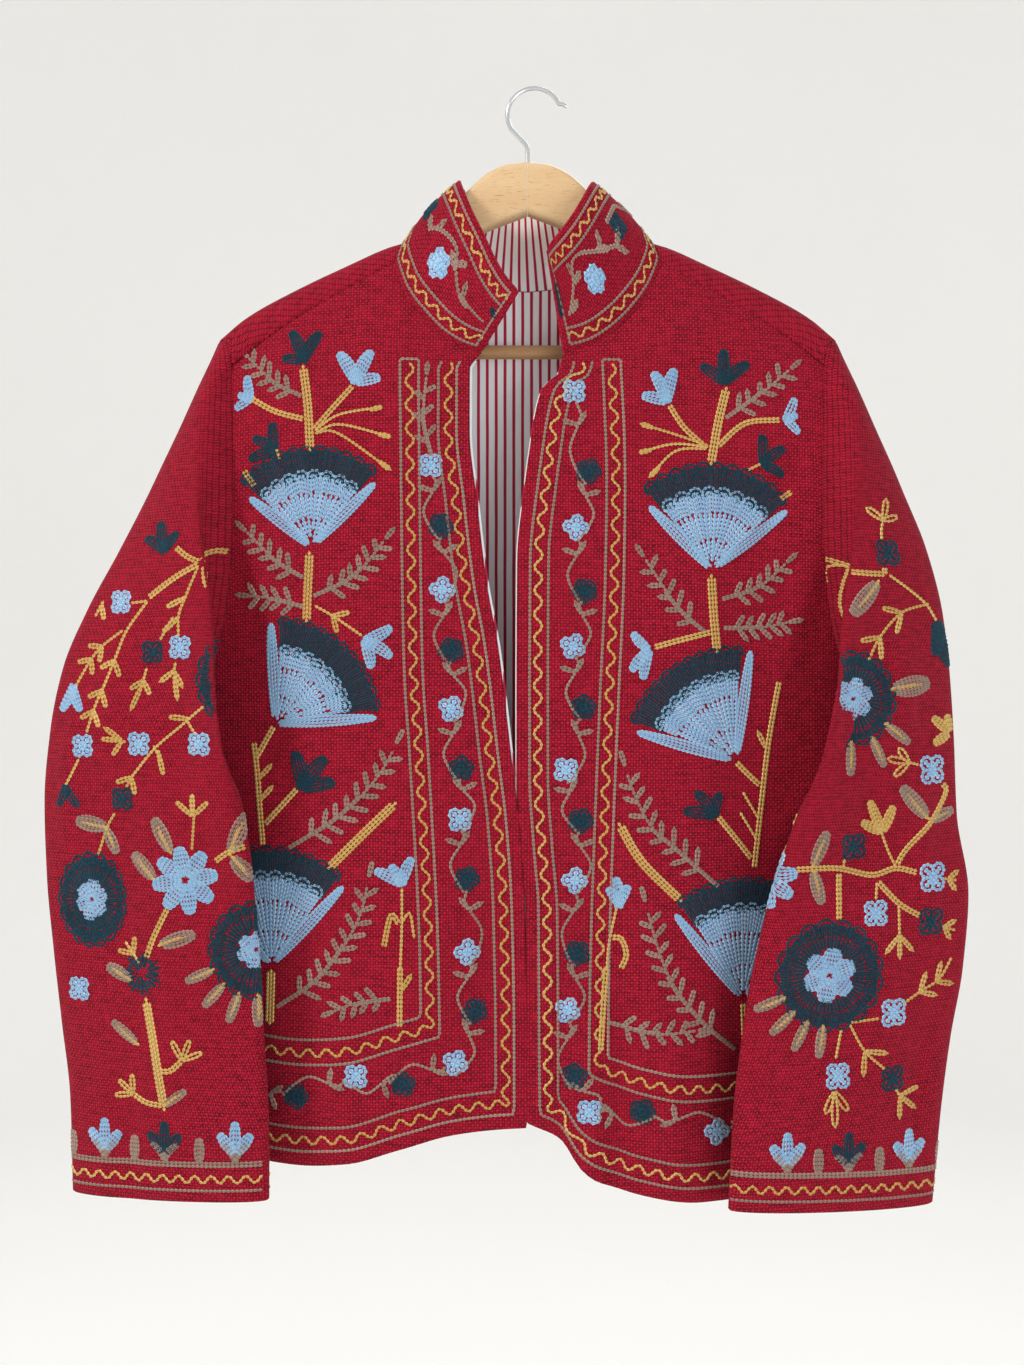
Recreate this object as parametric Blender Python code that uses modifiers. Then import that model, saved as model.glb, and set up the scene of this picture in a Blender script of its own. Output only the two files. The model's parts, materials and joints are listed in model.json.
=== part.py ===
"""Suzani jacket on a wooden hanger, in metres, +Z up, its front facing -Y.

The origin is the inside top of the hanger's hook, where the whole object hangs. The tables are in
millimetres: x is measured from the hanger's centre line, z from HOOK_TOP_Z below the hook's inside
top, and y from the plane of the hanger's arms. Left and right are as seen from the front.
"""

import math

import bmesh
import bpy
import numpy as np

MM = 0.001

# Driving dimensions, in millimetres.
CENTRE_X = -4.8            # the hanger's centre line stands this far left of the hook's inside top
CLOTH = 2.0                # thick slubby cotton, hem and seams pressed flat
LINING = 1.0               # thin striped cotton
SEAM_GAP = 0.3             # between two sewn pieces
HOOK_TOP_Z = 10.0          # the hook's inside top in the tables
SHOULDER_FRONT = 13.0      # from the ridge of the shoulder forward to its seam
SHOULDER_BACK = 13.0
BODY_FRONT = 28.0          # how much further forward the fronts hang than the shoulder seam
BODY_BACK = 14.0
SIDE_Y = -4.0              # the side seams lie nearly in the plane of the hanger
HANGER_THICK = 14.0
BAR_RADIUS = 4.8
BAR_Z = -174.0
WIRE_RADIUS = 1.6
HOOK_RADIUS = 17.4         # inside the hook's loop
CROWN_TOP_Z = -41.0

# The ridge of the shoulder, the shoulder seam and the neck points, for both shoulders alike.
RIDGE = (                  # distance from the centre, height
    (0, -88), (45, -91), (72, -95), (88, -99), (98, -102), (123, -113), (163, -132),
    (197, -151), (218, -169),
)
SHOULDER_SEAM = (          # distance from the centre, height
    (88, -112), (98, -117), (123, -131), (155, -149), (180, -165), (205, -184),
)
NECK_POINT = 93.0
NECK_CUT = (               # distance from the centre, cloth cut away behind the shoulder seam's line
    (0, 68), (45, 60), (68, 45), (79, 28), (87, 12), (93, 0), (240, 0),
)
RIDGE_ROWS = (0, 7, 14, 21, 29, 40)   # cloth from the shoulder seam over the ridge
RIDGE_TOP_ROW = 3          # the highest of them
RIDGE_FRONT_LENGTH = 20.0  # of it up to the ridge
RIDGE_BACK_LENGTH = 20.0   # and on to the flat of the back
BACK_COLUMNS = (0, .1, .2, .28, .335, .37, .40, .425, .45, .52, .62, .74, .85, .93, .98, 1)
# How far the armhole and then the side seam stand from the centre, down the body.
SIDE = (                   # height, front panel, back panel
    (-164, 208, 217), (-184, 206, 213), (-215, 205, 210), (-250, 204, 209), (-295, 204, 209),
    (-340, 207, 211), (-375, 213, 216), (-400, 222, 224), (-415, 231, 231), (-470, 232, 232),
    (-600, 233, 233), (-760, 236, 236),
)
UNDERARM_Z = -415.0
ABOVE_UNDERARM = {"front": 10, "back": 10}   # rows of a panel beside the armhole
BELOW_UNDERARM = {"front": 14, "back": 7}    # and down the side seam
# How wide the flattened body would be at each height, before the armholes cut it.
GIRTH = ((-110, 262), (-300, 250), (-380, 240), (-415, 231), (-470, 232), (-600, 233), (-760, 236))

LEFT, RIGHT = -1, 1
FRONT_EDGE = {             # height, x of the front edge
    LEFT: ((-178, -32), (-190, -41), (-233, -41), (-281, -36), (-336, -29.5), (-384, -21),
           (-460, -12), (-501, -7), (-560, -3.2), (-640, -1.6), (-760, -1.4)),
    RIGHT: ((-178, 25), (-193, 22), (-203, 11), (-226, 5), (-246, 2), (-268, -1), (-322, -6.5),
            (-418, -7), (-469, -7), (-520, -4), (-560, -0.9), (-640, -0.4), (-760, 0.2)),
}
NECKLINE = {               # x and height from the shoulder seam's neck point to the front edge
    LEFT: ((-93, -114.5), (-86, -135), (-72, -154), (-59, -167), (-45, -175), (-32, -179)),
    RIGHT: ((93, -114.5), (86, -132), (74, -149), (60, -163), (43, -174), (25, -179)),
}
FRONT_HEM = {              # distance from the centre, height
    LEFT: ((0, -708), (19, -709), (53, -713), (88, -722), (122, -732), (156, -735), (236, -727)),
    RIGHT: ((0, -705), (22, -716), (36, -735), (50, -744), (77, -753), (118, -759), (160, -759),
            (236, -750)),
}
BACK_HEM = ((-236, -727), (-120, -712), (0, -703), (120, -722), (236, -748))   # x, height

# Soft folds: x and height at both ends, width, and how far the cloth stands out there.
FRONT_FOLDS = {
    LEFT: ((-62, -260, -84, -700, 26, 5.0), (-205, -230, -205, -420, 42, -13),
           (-112, -200, -120, -420, 22, 3.0)),
    RIGHT: ((39, -560, 43, -770, 13, 9.0), (20, -600, 20, -770, 10, -4.0),
            (66, -260, 88, -700, 24, 4.0), (190, -230, 180, -420, 56, -15),
            (112, -200, 118, -420, 22, 3.0)),
}
BACK_FOLDS = (
    (-40, -250, -62, -710, 30, 5.0), (52, -230, 70, -720, 32, 5.5), (-140, -280, -150, -720, 28, 5.0),
    (150, -300, 158, -740, 26, 5.0), (4, -420, 6, -705, 24, 3.5),
)

# One row for each ring of a sleeve: the overarm point, the underarm point, how deep the flattened
# tube is, how far its front rolls towards the body and how far its back tucks away from it.
SLEEVES = {
    LEFT: (  # over x, over z, over y, under x, under z, under y, half depth, roll, tuck
        (-219, -170, 0, -231, -416, -4, 30, 0, 0),
        (-230, -196, -2, -244, -431, -32, 35, 7, 25),
        (-245, -234, -4, -222, -446, -52, 32, 18, 28),
        (-262, -272, -6, -204, -462, -61, 28, 11, 20),
        (-284, -315, -7, -194, -482, -60, 24, 2, 10),
        (-306, -356, -8, -189, -507, -60, 22, 0, 3),
        (-323, -396, -8, -186, -532, -59, 20, 0, 0),
        (-332, -440, -8, -184, -558, -58, 19, 0, 0),
        (-336, -489, -8, -182, -588, -57, 18, 0, 0),
        (-334, -542, -9, -180, -618, -57, 17, 0, 0),
        (-329, -593, -10, -178, -649, -57, 16, 0, 0),
        (-323, -643, -11, -176, -680, -57, 16, 0, 0),
        (-317, -694, -12, -175, -711, -57, 15, 0, 0),
        (-315, -758, -13, -175, -752, -57, 14, 0, 0),
    ),
    RIGHT: (
        (219, -170, 0, 231, -416, -4, 30, 0, 0),
        (231, -198, -2, 243, -431, -32, 35, 7, 30),
        (245, -235, -4, 219, -447, -54, 32, 18, 30),
        (260, -272, -6, 198, -465, -65, 28, 12, 22),
        (277, -314, -7, 183, -487, -66, 24, 4, 12),
        (288, -358, -8, 174, -510, -67, 22, 0, 4),
        (293, -400, -8, 166, -535, -67, 20, 0, 0),
        (296, -447, -8, 159, -560, -67, 19, 0, 0),
        (298, -498, -8, 152, -590, -67, 18, 0, 0),
        (306, -552, -9, 146, -620, -67, 17, 0, 0),
        (302, -603, -10, 142, -651, -67, 16, 0, 0),
        (293, -652, -11, 138, -684, -67, 16, 0, 0),
        (286, -703, -12, 136, -716, -67, 15, 0, 0),
        (280, -766, -13, 134, -756, -67, 14, 0, 0),
    ),
}
SLEEVE_CREASES = (         # turn round the sleeve from the overarm, ring, widths of both, depth
    (0.24, 4.6, 0.07, 0.7, -3.5), (0.30, 7.4, 0.10, 0.5, -3.0), (0.17, 9.2, 0.08, 0.6, -2.5),
    (0.70, 5.4, 0.09, 0.7, -3.5), (0.78, 8.6, 0.09, 0.6, -3.0), (0.26, 11.2, 0.09, 0.5, 2.0),
)

# The free edge of the stand collar, from its left front corner round the neck to its right one.
COLLAR_EDGE = (  # share of the neck seam, x, y, z
    (0.00, -7, -45, -141), (0.04, -15, -41, -131), (0.08, -22, -38, -119), (0.12, -31, -33, -99),
    (0.16, -40, -26, -79), (0.205, -46, -15, -62), (0.255, -48, 1, -54), (0.32, -43, 20, -58),
    (0.41, -26, 33, -62), (0.50, 0, 37, -64), (0.59, 26, 33, -62), (0.68, 43, 20, -58),
    (0.745, 46, 1, -55), (0.795, 43, -17, -62), (0.84, 36, -30, -77), (0.88, 28, -37, -91),
    (0.92, 20, -40, -102), (0.96, 15, -38, -108), (1.00, 13, -36, -112),
)
COLLAR_BELLY = 3.0         # how far the collar's band bulges out between its two edges

# Upper edge of the hanger's crown up to the neck of the jacket, beyond which the arm fills the
# shoulder, then its end and its lower edge.
CROWN = (                  # distance from the mitre, height
    (0, -41), (14, -42.6), (28, -48.6), (43, -62), (61, -81), (78, -101), (90, -106),
)
ARM_END = ((196, -158), (202, -166), (203, -175), (199, -183), (194, -185), (188, -185), (188, -166))
ARM_UNDER = ((172, -160), (142, -149), (112, -135), (77, -116), (33, -91), (0, -78))
ARM_EDGE_BEVEL = 5.0
ARM_BELOW_RIDGE = 3.1      # the cloth's half thickness, its turn over the arm and the gap


def smooth(table, at, column=1):
    """The value of a table's column, by monotone cubic pieces between its rows."""
    rows = np.array(sorted(table, key=lambda row: row[0]), float)
    x = rows[:, 0]
    y = rows[:, column]
    step = np.diff(x)
    slope = np.diff(y) / step
    tangent = np.empty(len(x))
    tangent[0], tangent[-1] = slope[0], slope[-1]
    same_way = slope[:-1] * slope[1:] > 0
    inner = 2 * slope[:-1] * slope[1:] / np.where(same_way, slope[:-1] + slope[1:], 1)
    tangent[1:-1] = np.where(same_way, inner, 0)
    at = np.clip(np.asarray(at, float), x[0], x[-1])
    i = np.clip(np.searchsorted(x, at) - 1, 0, len(step) - 1)
    t = (at - x[i]) / step[i]
    return (
        y[i] * (1 + 2 * t) * (1 - t) ** 2
        + tangent[i] * step[i] * t * (1 - t) ** 2
        + y[i + 1] * t * t * (3 - 2 * t)
        - tangent[i + 1] * step[i] * t * t * (1 - t)
    )


def along(rows, at, column):
    """A column read at a row number, which need not be whole."""
    return smooth([(k, row[column]) for k, row in enumerate(rows)], at)


def fold_height(folds, x, z):
    """How far soft folds move the cloth at a place of a panel."""
    moved = np.zeros(np.broadcast(x, z).shape)
    for x0, z0, x1, z1, width, height in folds:
        down = np.clip((z0 - z) / (z0 - z1), 0, 1)
        fade = np.sin(np.pi / 2 * down) ** 2
        moved += height * fade * np.exp(-(((x - x0 - (x1 - x0) * down) / width) ** 2))
    return moved


def closing(x, z):
    """One over the middle of the body, falling to nothing where front and back meet at the side."""
    share = np.clip(np.abs(x) / smooth(GIRTH, z), 0, 1)
    return np.sqrt(1 - share**4)


def front_y(x, z, side):
    """Depth of the front panel's cloth."""
    below = np.maximum(0, smooth(SHOULDER_SEAM, np.abs(x)) - z)
    depth = SHOULDER_FRONT + BODY_FRONT * (1 - np.exp(-below / 110))
    depth = depth + fold_height(FRONT_FOLDS[side], x, z)
    return SIDE_Y - (depth + SIDE_Y) * closing(x, z)


def back_y(x, z):
    """Depth of the back panel's cloth, behind the ridge."""
    below = np.maximum(0, smooth(RIDGE, np.abs(x)) - SHOULDER_BACK - z)
    depth = SHOULDER_BACK + BODY_BACK * (1 - np.exp(-below / 140))
    depth = depth + fold_height(BACK_FOLDS, x, z)
    return SIDE_Y + (depth - SIDE_Y) * closing(x, z)


def crowded(u):
    """Spreads columns so that more of them lie near both edges, where the cloth turns."""
    return (1 - np.cos(math.pi * u)) / 2


def front_panel(side, columns):
    """Grid of points of one front, rows from the shoulder seam and neckline down to the hem."""
    seam_x = np.linspace(smooth(SIDE, -188), NECK_POINT, 40)[:-1]
    seam = np.column_stack([side * seam_x, smooth(SHOULDER_SEAM, seam_x)])
    neck_z = np.linspace(0, len(NECKLINE[side]) - 1, 40)
    neck = np.column_stack([along(NECKLINE[side], neck_z, 0), along(NECKLINE[side], neck_z, 1)])
    top = np.vstack([seam, neck])
    top[:, 1] -= SEAM_GAP

    def across(x, z):
        outer = side * smooth(SIDE, z)
        return (x - outer) / (smooth(FRONT_EDGE[side], z) - outer)

    u = crowded(np.linspace(0, 1, columns))
    top_z = np.interp(u, across(top[:, 0], top[:, 1]), top[:, 1])
    hem_x = side * np.linspace(236, 0, 80)
    hem_z = smooth(FRONT_HEM[side], np.abs(hem_x))
    low_z = np.interp(u, across(hem_x, hem_z), hem_z)
    above = np.linspace(0, 1, ABOVE_UNDERARM["front"] + 1)[:-1, None]
    below = np.linspace(0, 1, BELOW_UNDERARM["front"] + 1)[:, None]
    z = np.vstack([
        top_z + (UNDERARM_Z - top_z) * above,
        UNDERARM_Z + (low_z - UNDERARM_Z) * below,
    ])
    outer = side * smooth(SIDE, z)
    x = outer + (smooth(FRONT_EDGE[side], z) - outer) * u
    y = front_y(x, z, side)
    side_seam = (u == 0) & (z <= UNDERARM_Z)
    y = np.where(side_seam, y - 2 * SEAM_GAP, y)
    return np.stack([x, y, z], axis=-1)


def back_panel():
    """Grid of the back, from the shoulder seams over the ridge, and from the neckline, to the hem."""
    spread = np.array([-share for share in BACK_COLUMNS[:0:-1]] + list(BACK_COLUMNS))
    underarm_row = len(RIDGE_ROWS) + ABOVE_UNDERARM["back"]
    rows = underarm_row + 1 + BELOW_UNDERARM["back"]
    share = np.broadcast_to(spread, (rows, len(spread)))
    x = share * smooth(SIDE, -184, 2)
    arc = RIDGE_FRONT_LENGTH + RIDGE_BACK_LENGTH
    start = np.array(RIDGE_ROWS)[:, None]
    above = np.linspace(0, 1, ABOVE_UNDERARM["back"] + 2)[1:-1, None]
    below = np.linspace(0, 1, BELOW_UNDERARM["back"] + 1)[:, None]
    for _ in range(6):
        ridge = smooth(RIDGE, np.abs(x))
        first = smooth(NECK_CUT, np.abs(x[0])) + SEAM_GAP
        under = arc + ridge[underarm_row] - SHOULDER_BACK - UNDERARM_Z
        last = arc + ridge[-1] - SHOULDER_BACK - smooth(BACK_HEM, x[-1])
        turned = first + start
        run = np.vstack([
            turned,
            turned[-1] + (under - turned[-1]) * above,
            under + (last - under) * below,
        ])
        ahead = run < RIDGE_FRONT_LENGTH
        turn = np.where(
            ahead,
            run / RIDGE_FRONT_LENGTH,
            1 + np.minimum(1, (run - RIDGE_FRONT_LENGTH) / RIDGE_BACK_LENGTH),
        ) * math.pi / 2
        drop = np.where(ahead, ridge - smooth(SHOULDER_SEAM, np.abs(x)), SHOULDER_BACK)
        z = ridge - drop * (1 - np.sin(turn)) - np.maximum(0, run - arc)
        y = -np.cos(turn) * np.where(ahead, SHOULDER_FRONT, SHOULDER_BACK)
        behind = np.clip(1 + y / SHOULDER_FRONT, 0, 1)
        side_x = smooth(SIDE, z, 1) * (1 - behind) + smooth(SIDE, z, 2) * behind
        x = share * side_x
    y = np.where(run > arc, back_y(x, z), y)
    side_seam = (np.abs(share) == 1) & (np.arange(rows)[:, None] >= underarm_row)
    y = np.where(side_seam, y + 2 * SEAM_GAP, y)
    return np.stack([x, y, z], axis=-1)


def moved_out(grid, distance, round_about=False):
    """The same grid moved along its normals, to the side that faces the viewer when rows run down
    and columns run to the right."""
    if round_about:
        across = np.roll(grid, -1, axis=1) - np.roll(grid, 1, axis=1)
    else:
        across = np.gradient(grid, axis=1)
    normal = np.cross(np.gradient(grid, axis=0), across)
    normal = normal / np.linalg.norm(normal, axis=-1, keepdims=True)
    return grid + normal * distance


def resampled(points, count):
    """The same curve with points evenly along it."""
    length = np.r_[0, np.cumsum(np.linalg.norm(np.diff(points, axis=0), axis=1))]
    at = np.linspace(0, length[-1], count)
    return np.column_stack([np.interp(at, length, points[:, k]) for k in range(3)])


def armhole(side):
    """The loop where a sleeve is sewn on: ridge, front, underarm, back and up to the ridge again.

    It goes through the panels' own rows, so that both sides of the seam run alike.
    """
    front = front_panel(side, 3)[: ABOVE_UNDERARM["front"], 0]
    back = back_panel()[: len(RIDGE_ROWS) + ABOVE_UNDERARM["back"], 0 if side == LEFT else -1]
    underarm = [[side * (smooth(SIDE, UNDERARM_Z) + 1.7 * CLOTH), SIDE_Y, UNDERARM_Z - CLOTH]]
    return np.vstack([back[RIDGE_TOP_ROW:0:-1], front, underarm, back[:RIDGE_TOP_ROW:-1]])


def sleeve(side, rows):
    """Grid of a sleeve, rings from the armhole down to the cuff, each a flattened tube."""
    table = SLEEVES[side]
    hole = armhole(side)
    columns = len(hole)
    ring = np.linspace(0, len(table) - 1, rows)[:, None, None]
    over = np.concatenate([along(table, ring, k) for k in (0, 2, 1)], axis=-1)
    under = np.concatenate([along(table, ring, k) for k in (3, 5, 4)], axis=-1)
    depth = along(table, ring, 6)
    roll = along(table, ring, 7)
    tuck = along(table, ring, 8)
    turn = (np.arange(columns) / columns * 2 * math.pi)[None, :, None]
    lengthwise = over - under
    length = np.linalg.norm(lengthwise, axis=-1, keepdims=True)
    lengthwise = lengthwise / length
    ahead = np.array([0, -1.0, 0]) + lengthwise[..., 1:2] * lengthwise
    ahead = ahead / np.linalg.norm(ahead, axis=-1, keepdims=True)
    grid = (over + under) / 2 + lengthwise * length / 2 * np.cos(turn)
    grid = grid + ahead * depth * np.sin(turn)
    low = (1 - np.cos(turn)) / 1.3
    forward = np.clip(np.sin(turn), 0, 1) ** 2 * low
    backward = np.clip(-np.sin(turn), 0, 1) * low
    grid = grid + np.array([-side, 0, 0]) * (roll * forward - tuck * backward)
    for round_at, ring_at, round_width, ring_width, height in SLEEVE_CREASES:
        reach = ((turn / (2 * math.pi) - round_at) / round_width) ** 2
        reach = reach + ((ring - ring_at + 4 * (turn / (2 * math.pi) - round_at)) / ring_width) ** 2
        grid = grid + ahead * np.sign(np.sin(turn)) * height * np.exp(-reach)
    flat = grid[0]
    kept = np.clip(1 - ring / 2.6, 0, 1) ** 1.5
    grid = grid + kept * (hole - flat)
    grid[0] = grid[0] + (grid[1] - grid[0]) / np.linalg.norm(
        grid[1] - grid[0], axis=-1, keepdims=True
    ) * (CLOTH / 2 + 2 * SEAM_GAP)
    return grid


def neck_seam(count):
    """The neckline of fronts and back, from the left front corner round to the right one."""
    left = front_panel(LEFT, 60)[0]
    right = front_panel(RIGHT, 60)[0]
    back = back_panel()[0]
    left = left[left[:, 0] > -NECK_POINT]
    right = right[right[:, 0] < NECK_POINT]
    back = back[np.abs(back[:, 0]) < NECK_POINT]
    return resampled(np.vstack([left[::-1], back, right]), count)


def collar(columns, rows):
    """Grid of the stand collar, from its free edge down to the neck seam."""
    share = np.linspace(0, 1, columns)
    seam = neck_seam(columns)
    edge = np.column_stack([smooth(COLLAR_EDGE, share, k) for k in (1, 2, 3)])
    up = edge - seam
    height = np.linalg.norm(up, axis=1, keepdims=True)
    outward = np.cross(up, np.gradient(seam, axis=0))
    outward = outward / np.linalg.norm(outward, axis=1, keepdims=True)
    start = (CLOTH / 2 + 3 * SEAM_GAP) / height
    v = np.linspace(1, 0, rows)[:, None, None]
    v = start + (1 - start) * v
    return seam + up * v + outward * COLLAR_BELLY * np.sin(math.pi * v)


def clear_scene():
    for thing in list(bpy.data.objects):
        bpy.data.objects.remove(thing, do_unlink=True)


def finish(name, colour, roughness, metallic=0.0):
    """A plain Principled material."""
    made = bpy.data.materials.new(name)
    made.use_nodes = True
    shader = made.node_tree.nodes["Principled BSDF"]
    shader.inputs["Base Color"].default_value = (*colour, 1)
    shader.inputs["Roughness"].default_value = roughness
    shader.inputs["Metallic"].default_value = metallic
    made.diffuse_color = (*colour, 1)
    return made


def placed(points):
    """Table millimetres, measured from the hanger's centre line, as metres in the part's frame."""
    return (np.asarray(points, float) + [CENTRE_X, 0, -HOOK_TOP_Z]) * MM


def add_object(name, mesh, material, parts):
    made = bpy.data.objects.new(name, mesh)
    mesh.materials.append(material)
    mesh.shade_smooth()
    mesh.set_sharp_from_angle(angle=math.radians(40))
    parts.objects.link(made)
    return made


def cloth_wall(name, grid, thickness, material, parts, round_about=False):
    """An open sheet through a grid of points, given its thickness by Solidify."""
    rows, columns = grid.shape[:2]
    mesh = bpy.data.meshes.new(name)
    shape = bmesh.new()
    points = [[shape.verts.new(point) for point in row] for row in placed(grid)]
    for i in range(rows - 1):
        for j in range(columns if round_about else columns - 1):
            after = (j + 1) % columns
            shape.faces.new([points[i][j], points[i + 1][j], points[i + 1][after], points[i][after]])
    shape.to_mesh(mesh)
    shape.free()
    made = add_object(name, mesh, material, parts)
    wall = made.modifiers.new("wall", "SOLIDIFY")
    wall.thickness = thickness * MM
    wall.offset = 0
    return made


def hanger_arm(side, material, parts):
    """One half of the wooden hanger, mitred against the other under the hook."""
    shoulder = np.arange(102, 192, 11)
    top = [*CROWN, *zip(shoulder, smooth(RIDGE, shoulder) - ARM_BELOW_RIDGE)]
    outline = [*top, *ARM_END, *ARM_UNDER]
    gap = SEAM_GAP / 2
    shape = bmesh.new()
    corners = [
        shape.verts.new(placed((side * max(x, gap), -HANGER_THICK / 2, z))) for x, z in outline
    ]
    shape.faces.new(corners)
    pushed = bmesh.ops.extrude_face_region(shape, geom=shape.faces[:])
    moved = [item for item in pushed["geom"] if isinstance(item, bmesh.types.BMVert)]
    bmesh.ops.translate(shape, vec=(0, HANGER_THICK * MM, 0), verts=moved)
    bmesh.ops.recalc_face_normals(shape, faces=shape.faces)
    mitre = placed((side * gap, 0, 0))[0]
    rounded = shape.edges.layers.float.new("bevel_weight_edge")
    for edge in shape.edges:
        start, end = (corner.co for corner in edge.verts)
        on_mitre = math.isclose(start.x, mitre, abs_tol=1e-6) and math.isclose(
            end.x, mitre, abs_tol=1e-6
        )
        edge[rounded] = float(math.isclose(start.y, end.y, abs_tol=1e-6) and not on_mitre)
    name = "hanger_arm_left" if side == LEFT else "hanger_arm_right"
    mesh = bpy.data.meshes.new(name)
    shape.to_mesh(mesh)
    shape.free()
    made = add_object(name, mesh, material, parts)
    round_over = made.modifiers.new("rounded edges", "BEVEL")
    round_over.width = ARM_EDGE_BEVEL * MM
    round_over.segments = 3
    round_over.limit_method = "WEIGHT"
    return made


def trouser_bar(material, parts):
    """The round bar that joins the ends of the two arms."""
    reach = ARM_END[-1][0] - 2 * SEAM_GAP
    shape = bmesh.new()
    bmesh.ops.create_cone(
        shape, cap_ends=True, segments=20, radius1=BAR_RADIUS * MM, radius2=BAR_RADIUS * MM,
        depth=2 * reach * MM,
    )
    mesh = bpy.data.meshes.new("trouser_bar")
    shape.to_mesh(mesh)
    shape.free()
    made = add_object("trouser_bar", mesh, material, parts)
    made.rotation_euler = (0, math.pi / 2, 0)
    made.location = placed((0, 0, BAR_Z))
    return made


def hanger_hook(material, parts):
    """Bent wire: a round loop open at the right, a slanting neck and a straight stem."""
    loop = HOOK_RADIUS + WIRE_RADIUS
    middle = (-CENTRE_X, HOOK_TOP_Z - HOOK_RADIUS)
    route = [(28.0, -1.8), (24.6, 0.4)]
    for degrees in range(26, 207, 12):
        turn = math.radians(degrees)
        route.append((middle[0] + loop * math.cos(turn), middle[1] + loop * math.sin(turn)))
    route += [(-10.2, -18.6), (-6.0, -23.0), (-2.0, -27.2), (-0.4, -30.0), (0, -33.5)]
    route.append((0, CROWN_TOP_Z + SEAM_GAP))
    wire = bpy.data.curves.new("hanger_hook", "CURVE")
    wire.dimensions = "3D"
    wire.bevel_depth = WIRE_RADIUS * MM
    wire.bevel_resolution = 1
    wire.use_fill_caps = True
    wire.materials.append(material)
    line = wire.splines.new("POLY")
    line.points.add(len(route) - 1)
    for point, (x, z) in zip(line.points, route):
        point.co = (*placed((x, 0, z)), 1)
    made = bpy.data.objects.new("hanger_hook", wire)
    parts.objects.link(made)
    return made


def main():
    clear_scene()
    parts = bpy.data.collections.new("suzani jacket on a wooden hanger")
    bpy.context.scene.collection.children.link(parts)
    crimson = finish("crimson slub cotton", (0.36, 0.018, 0.037), 0.9)
    striped = finish("striped cotton lining", (0.72, 0.42, 0.44), 0.85)
    wood = finish("pale beech", (0.66, 0.47, 0.26), 0.5)
    dark_wood = finish("stained beech", (0.30, 0.19, 0.09), 0.45)
    chrome = finish("chromed wire", (0.80, 0.80, 0.80), 0.15, 1.0)
    inside = -(CLOTH / 2 + SEAM_GAP + LINING / 2)

    back = back_panel()[:, ::-1]
    cloth_wall("back", back, CLOTH, crimson, parts)
    lining = moved_out(back, inside)[len(RIDGE_ROWS) : -1, 2:-2]
    cloth_wall("back_lining", lining, LINING, striped, parts)
    for side, name in ((LEFT, "left"), (RIGHT, "right")):
        front = front_panel(side, 17)[:, :: -side]
        cloth_wall(f"front_{name}", front, CLOTH, crimson, parts)
        edge_to_side = slice(3, None) if side == LEFT else slice(None, -3)
        lining = moved_out(front, inside)[1:-1, edge_to_side]
        cloth_wall(f"front_lining_{name}", lining, LINING, striped, parts)
        tube = sleeve(side, 21)[:, :: -side]
        cloth_wall(f"sleeve_{name}", tube, CLOTH, crimson, parts, round_about=True)
        hanger_arm(side, wood, parts)
    band = collar(37, 4)[:, ::-1]
    cloth_wall("collar", band, CLOTH, crimson, parts)
    cloth_wall("collar_lining", moved_out(band, inside)[:, 1:-1], LINING, striped, parts)
    trouser_bar(dark_wood, parts)
    hanger_hook(chrome, parts)


main()
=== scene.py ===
"""Suzani jacket on a wooden hanger: its finish, cloth and embroidery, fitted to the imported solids.

The tables and the functions of each panel's surface are those of the part's source, read here on
finer grids. Sizes are in millimetres: x from the hanger's centre line, z from HOOK_TOP_Z below the
hook's inside top, y from the plane of the hanger's arms. Left and right are as seen from the front.
"""

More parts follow.
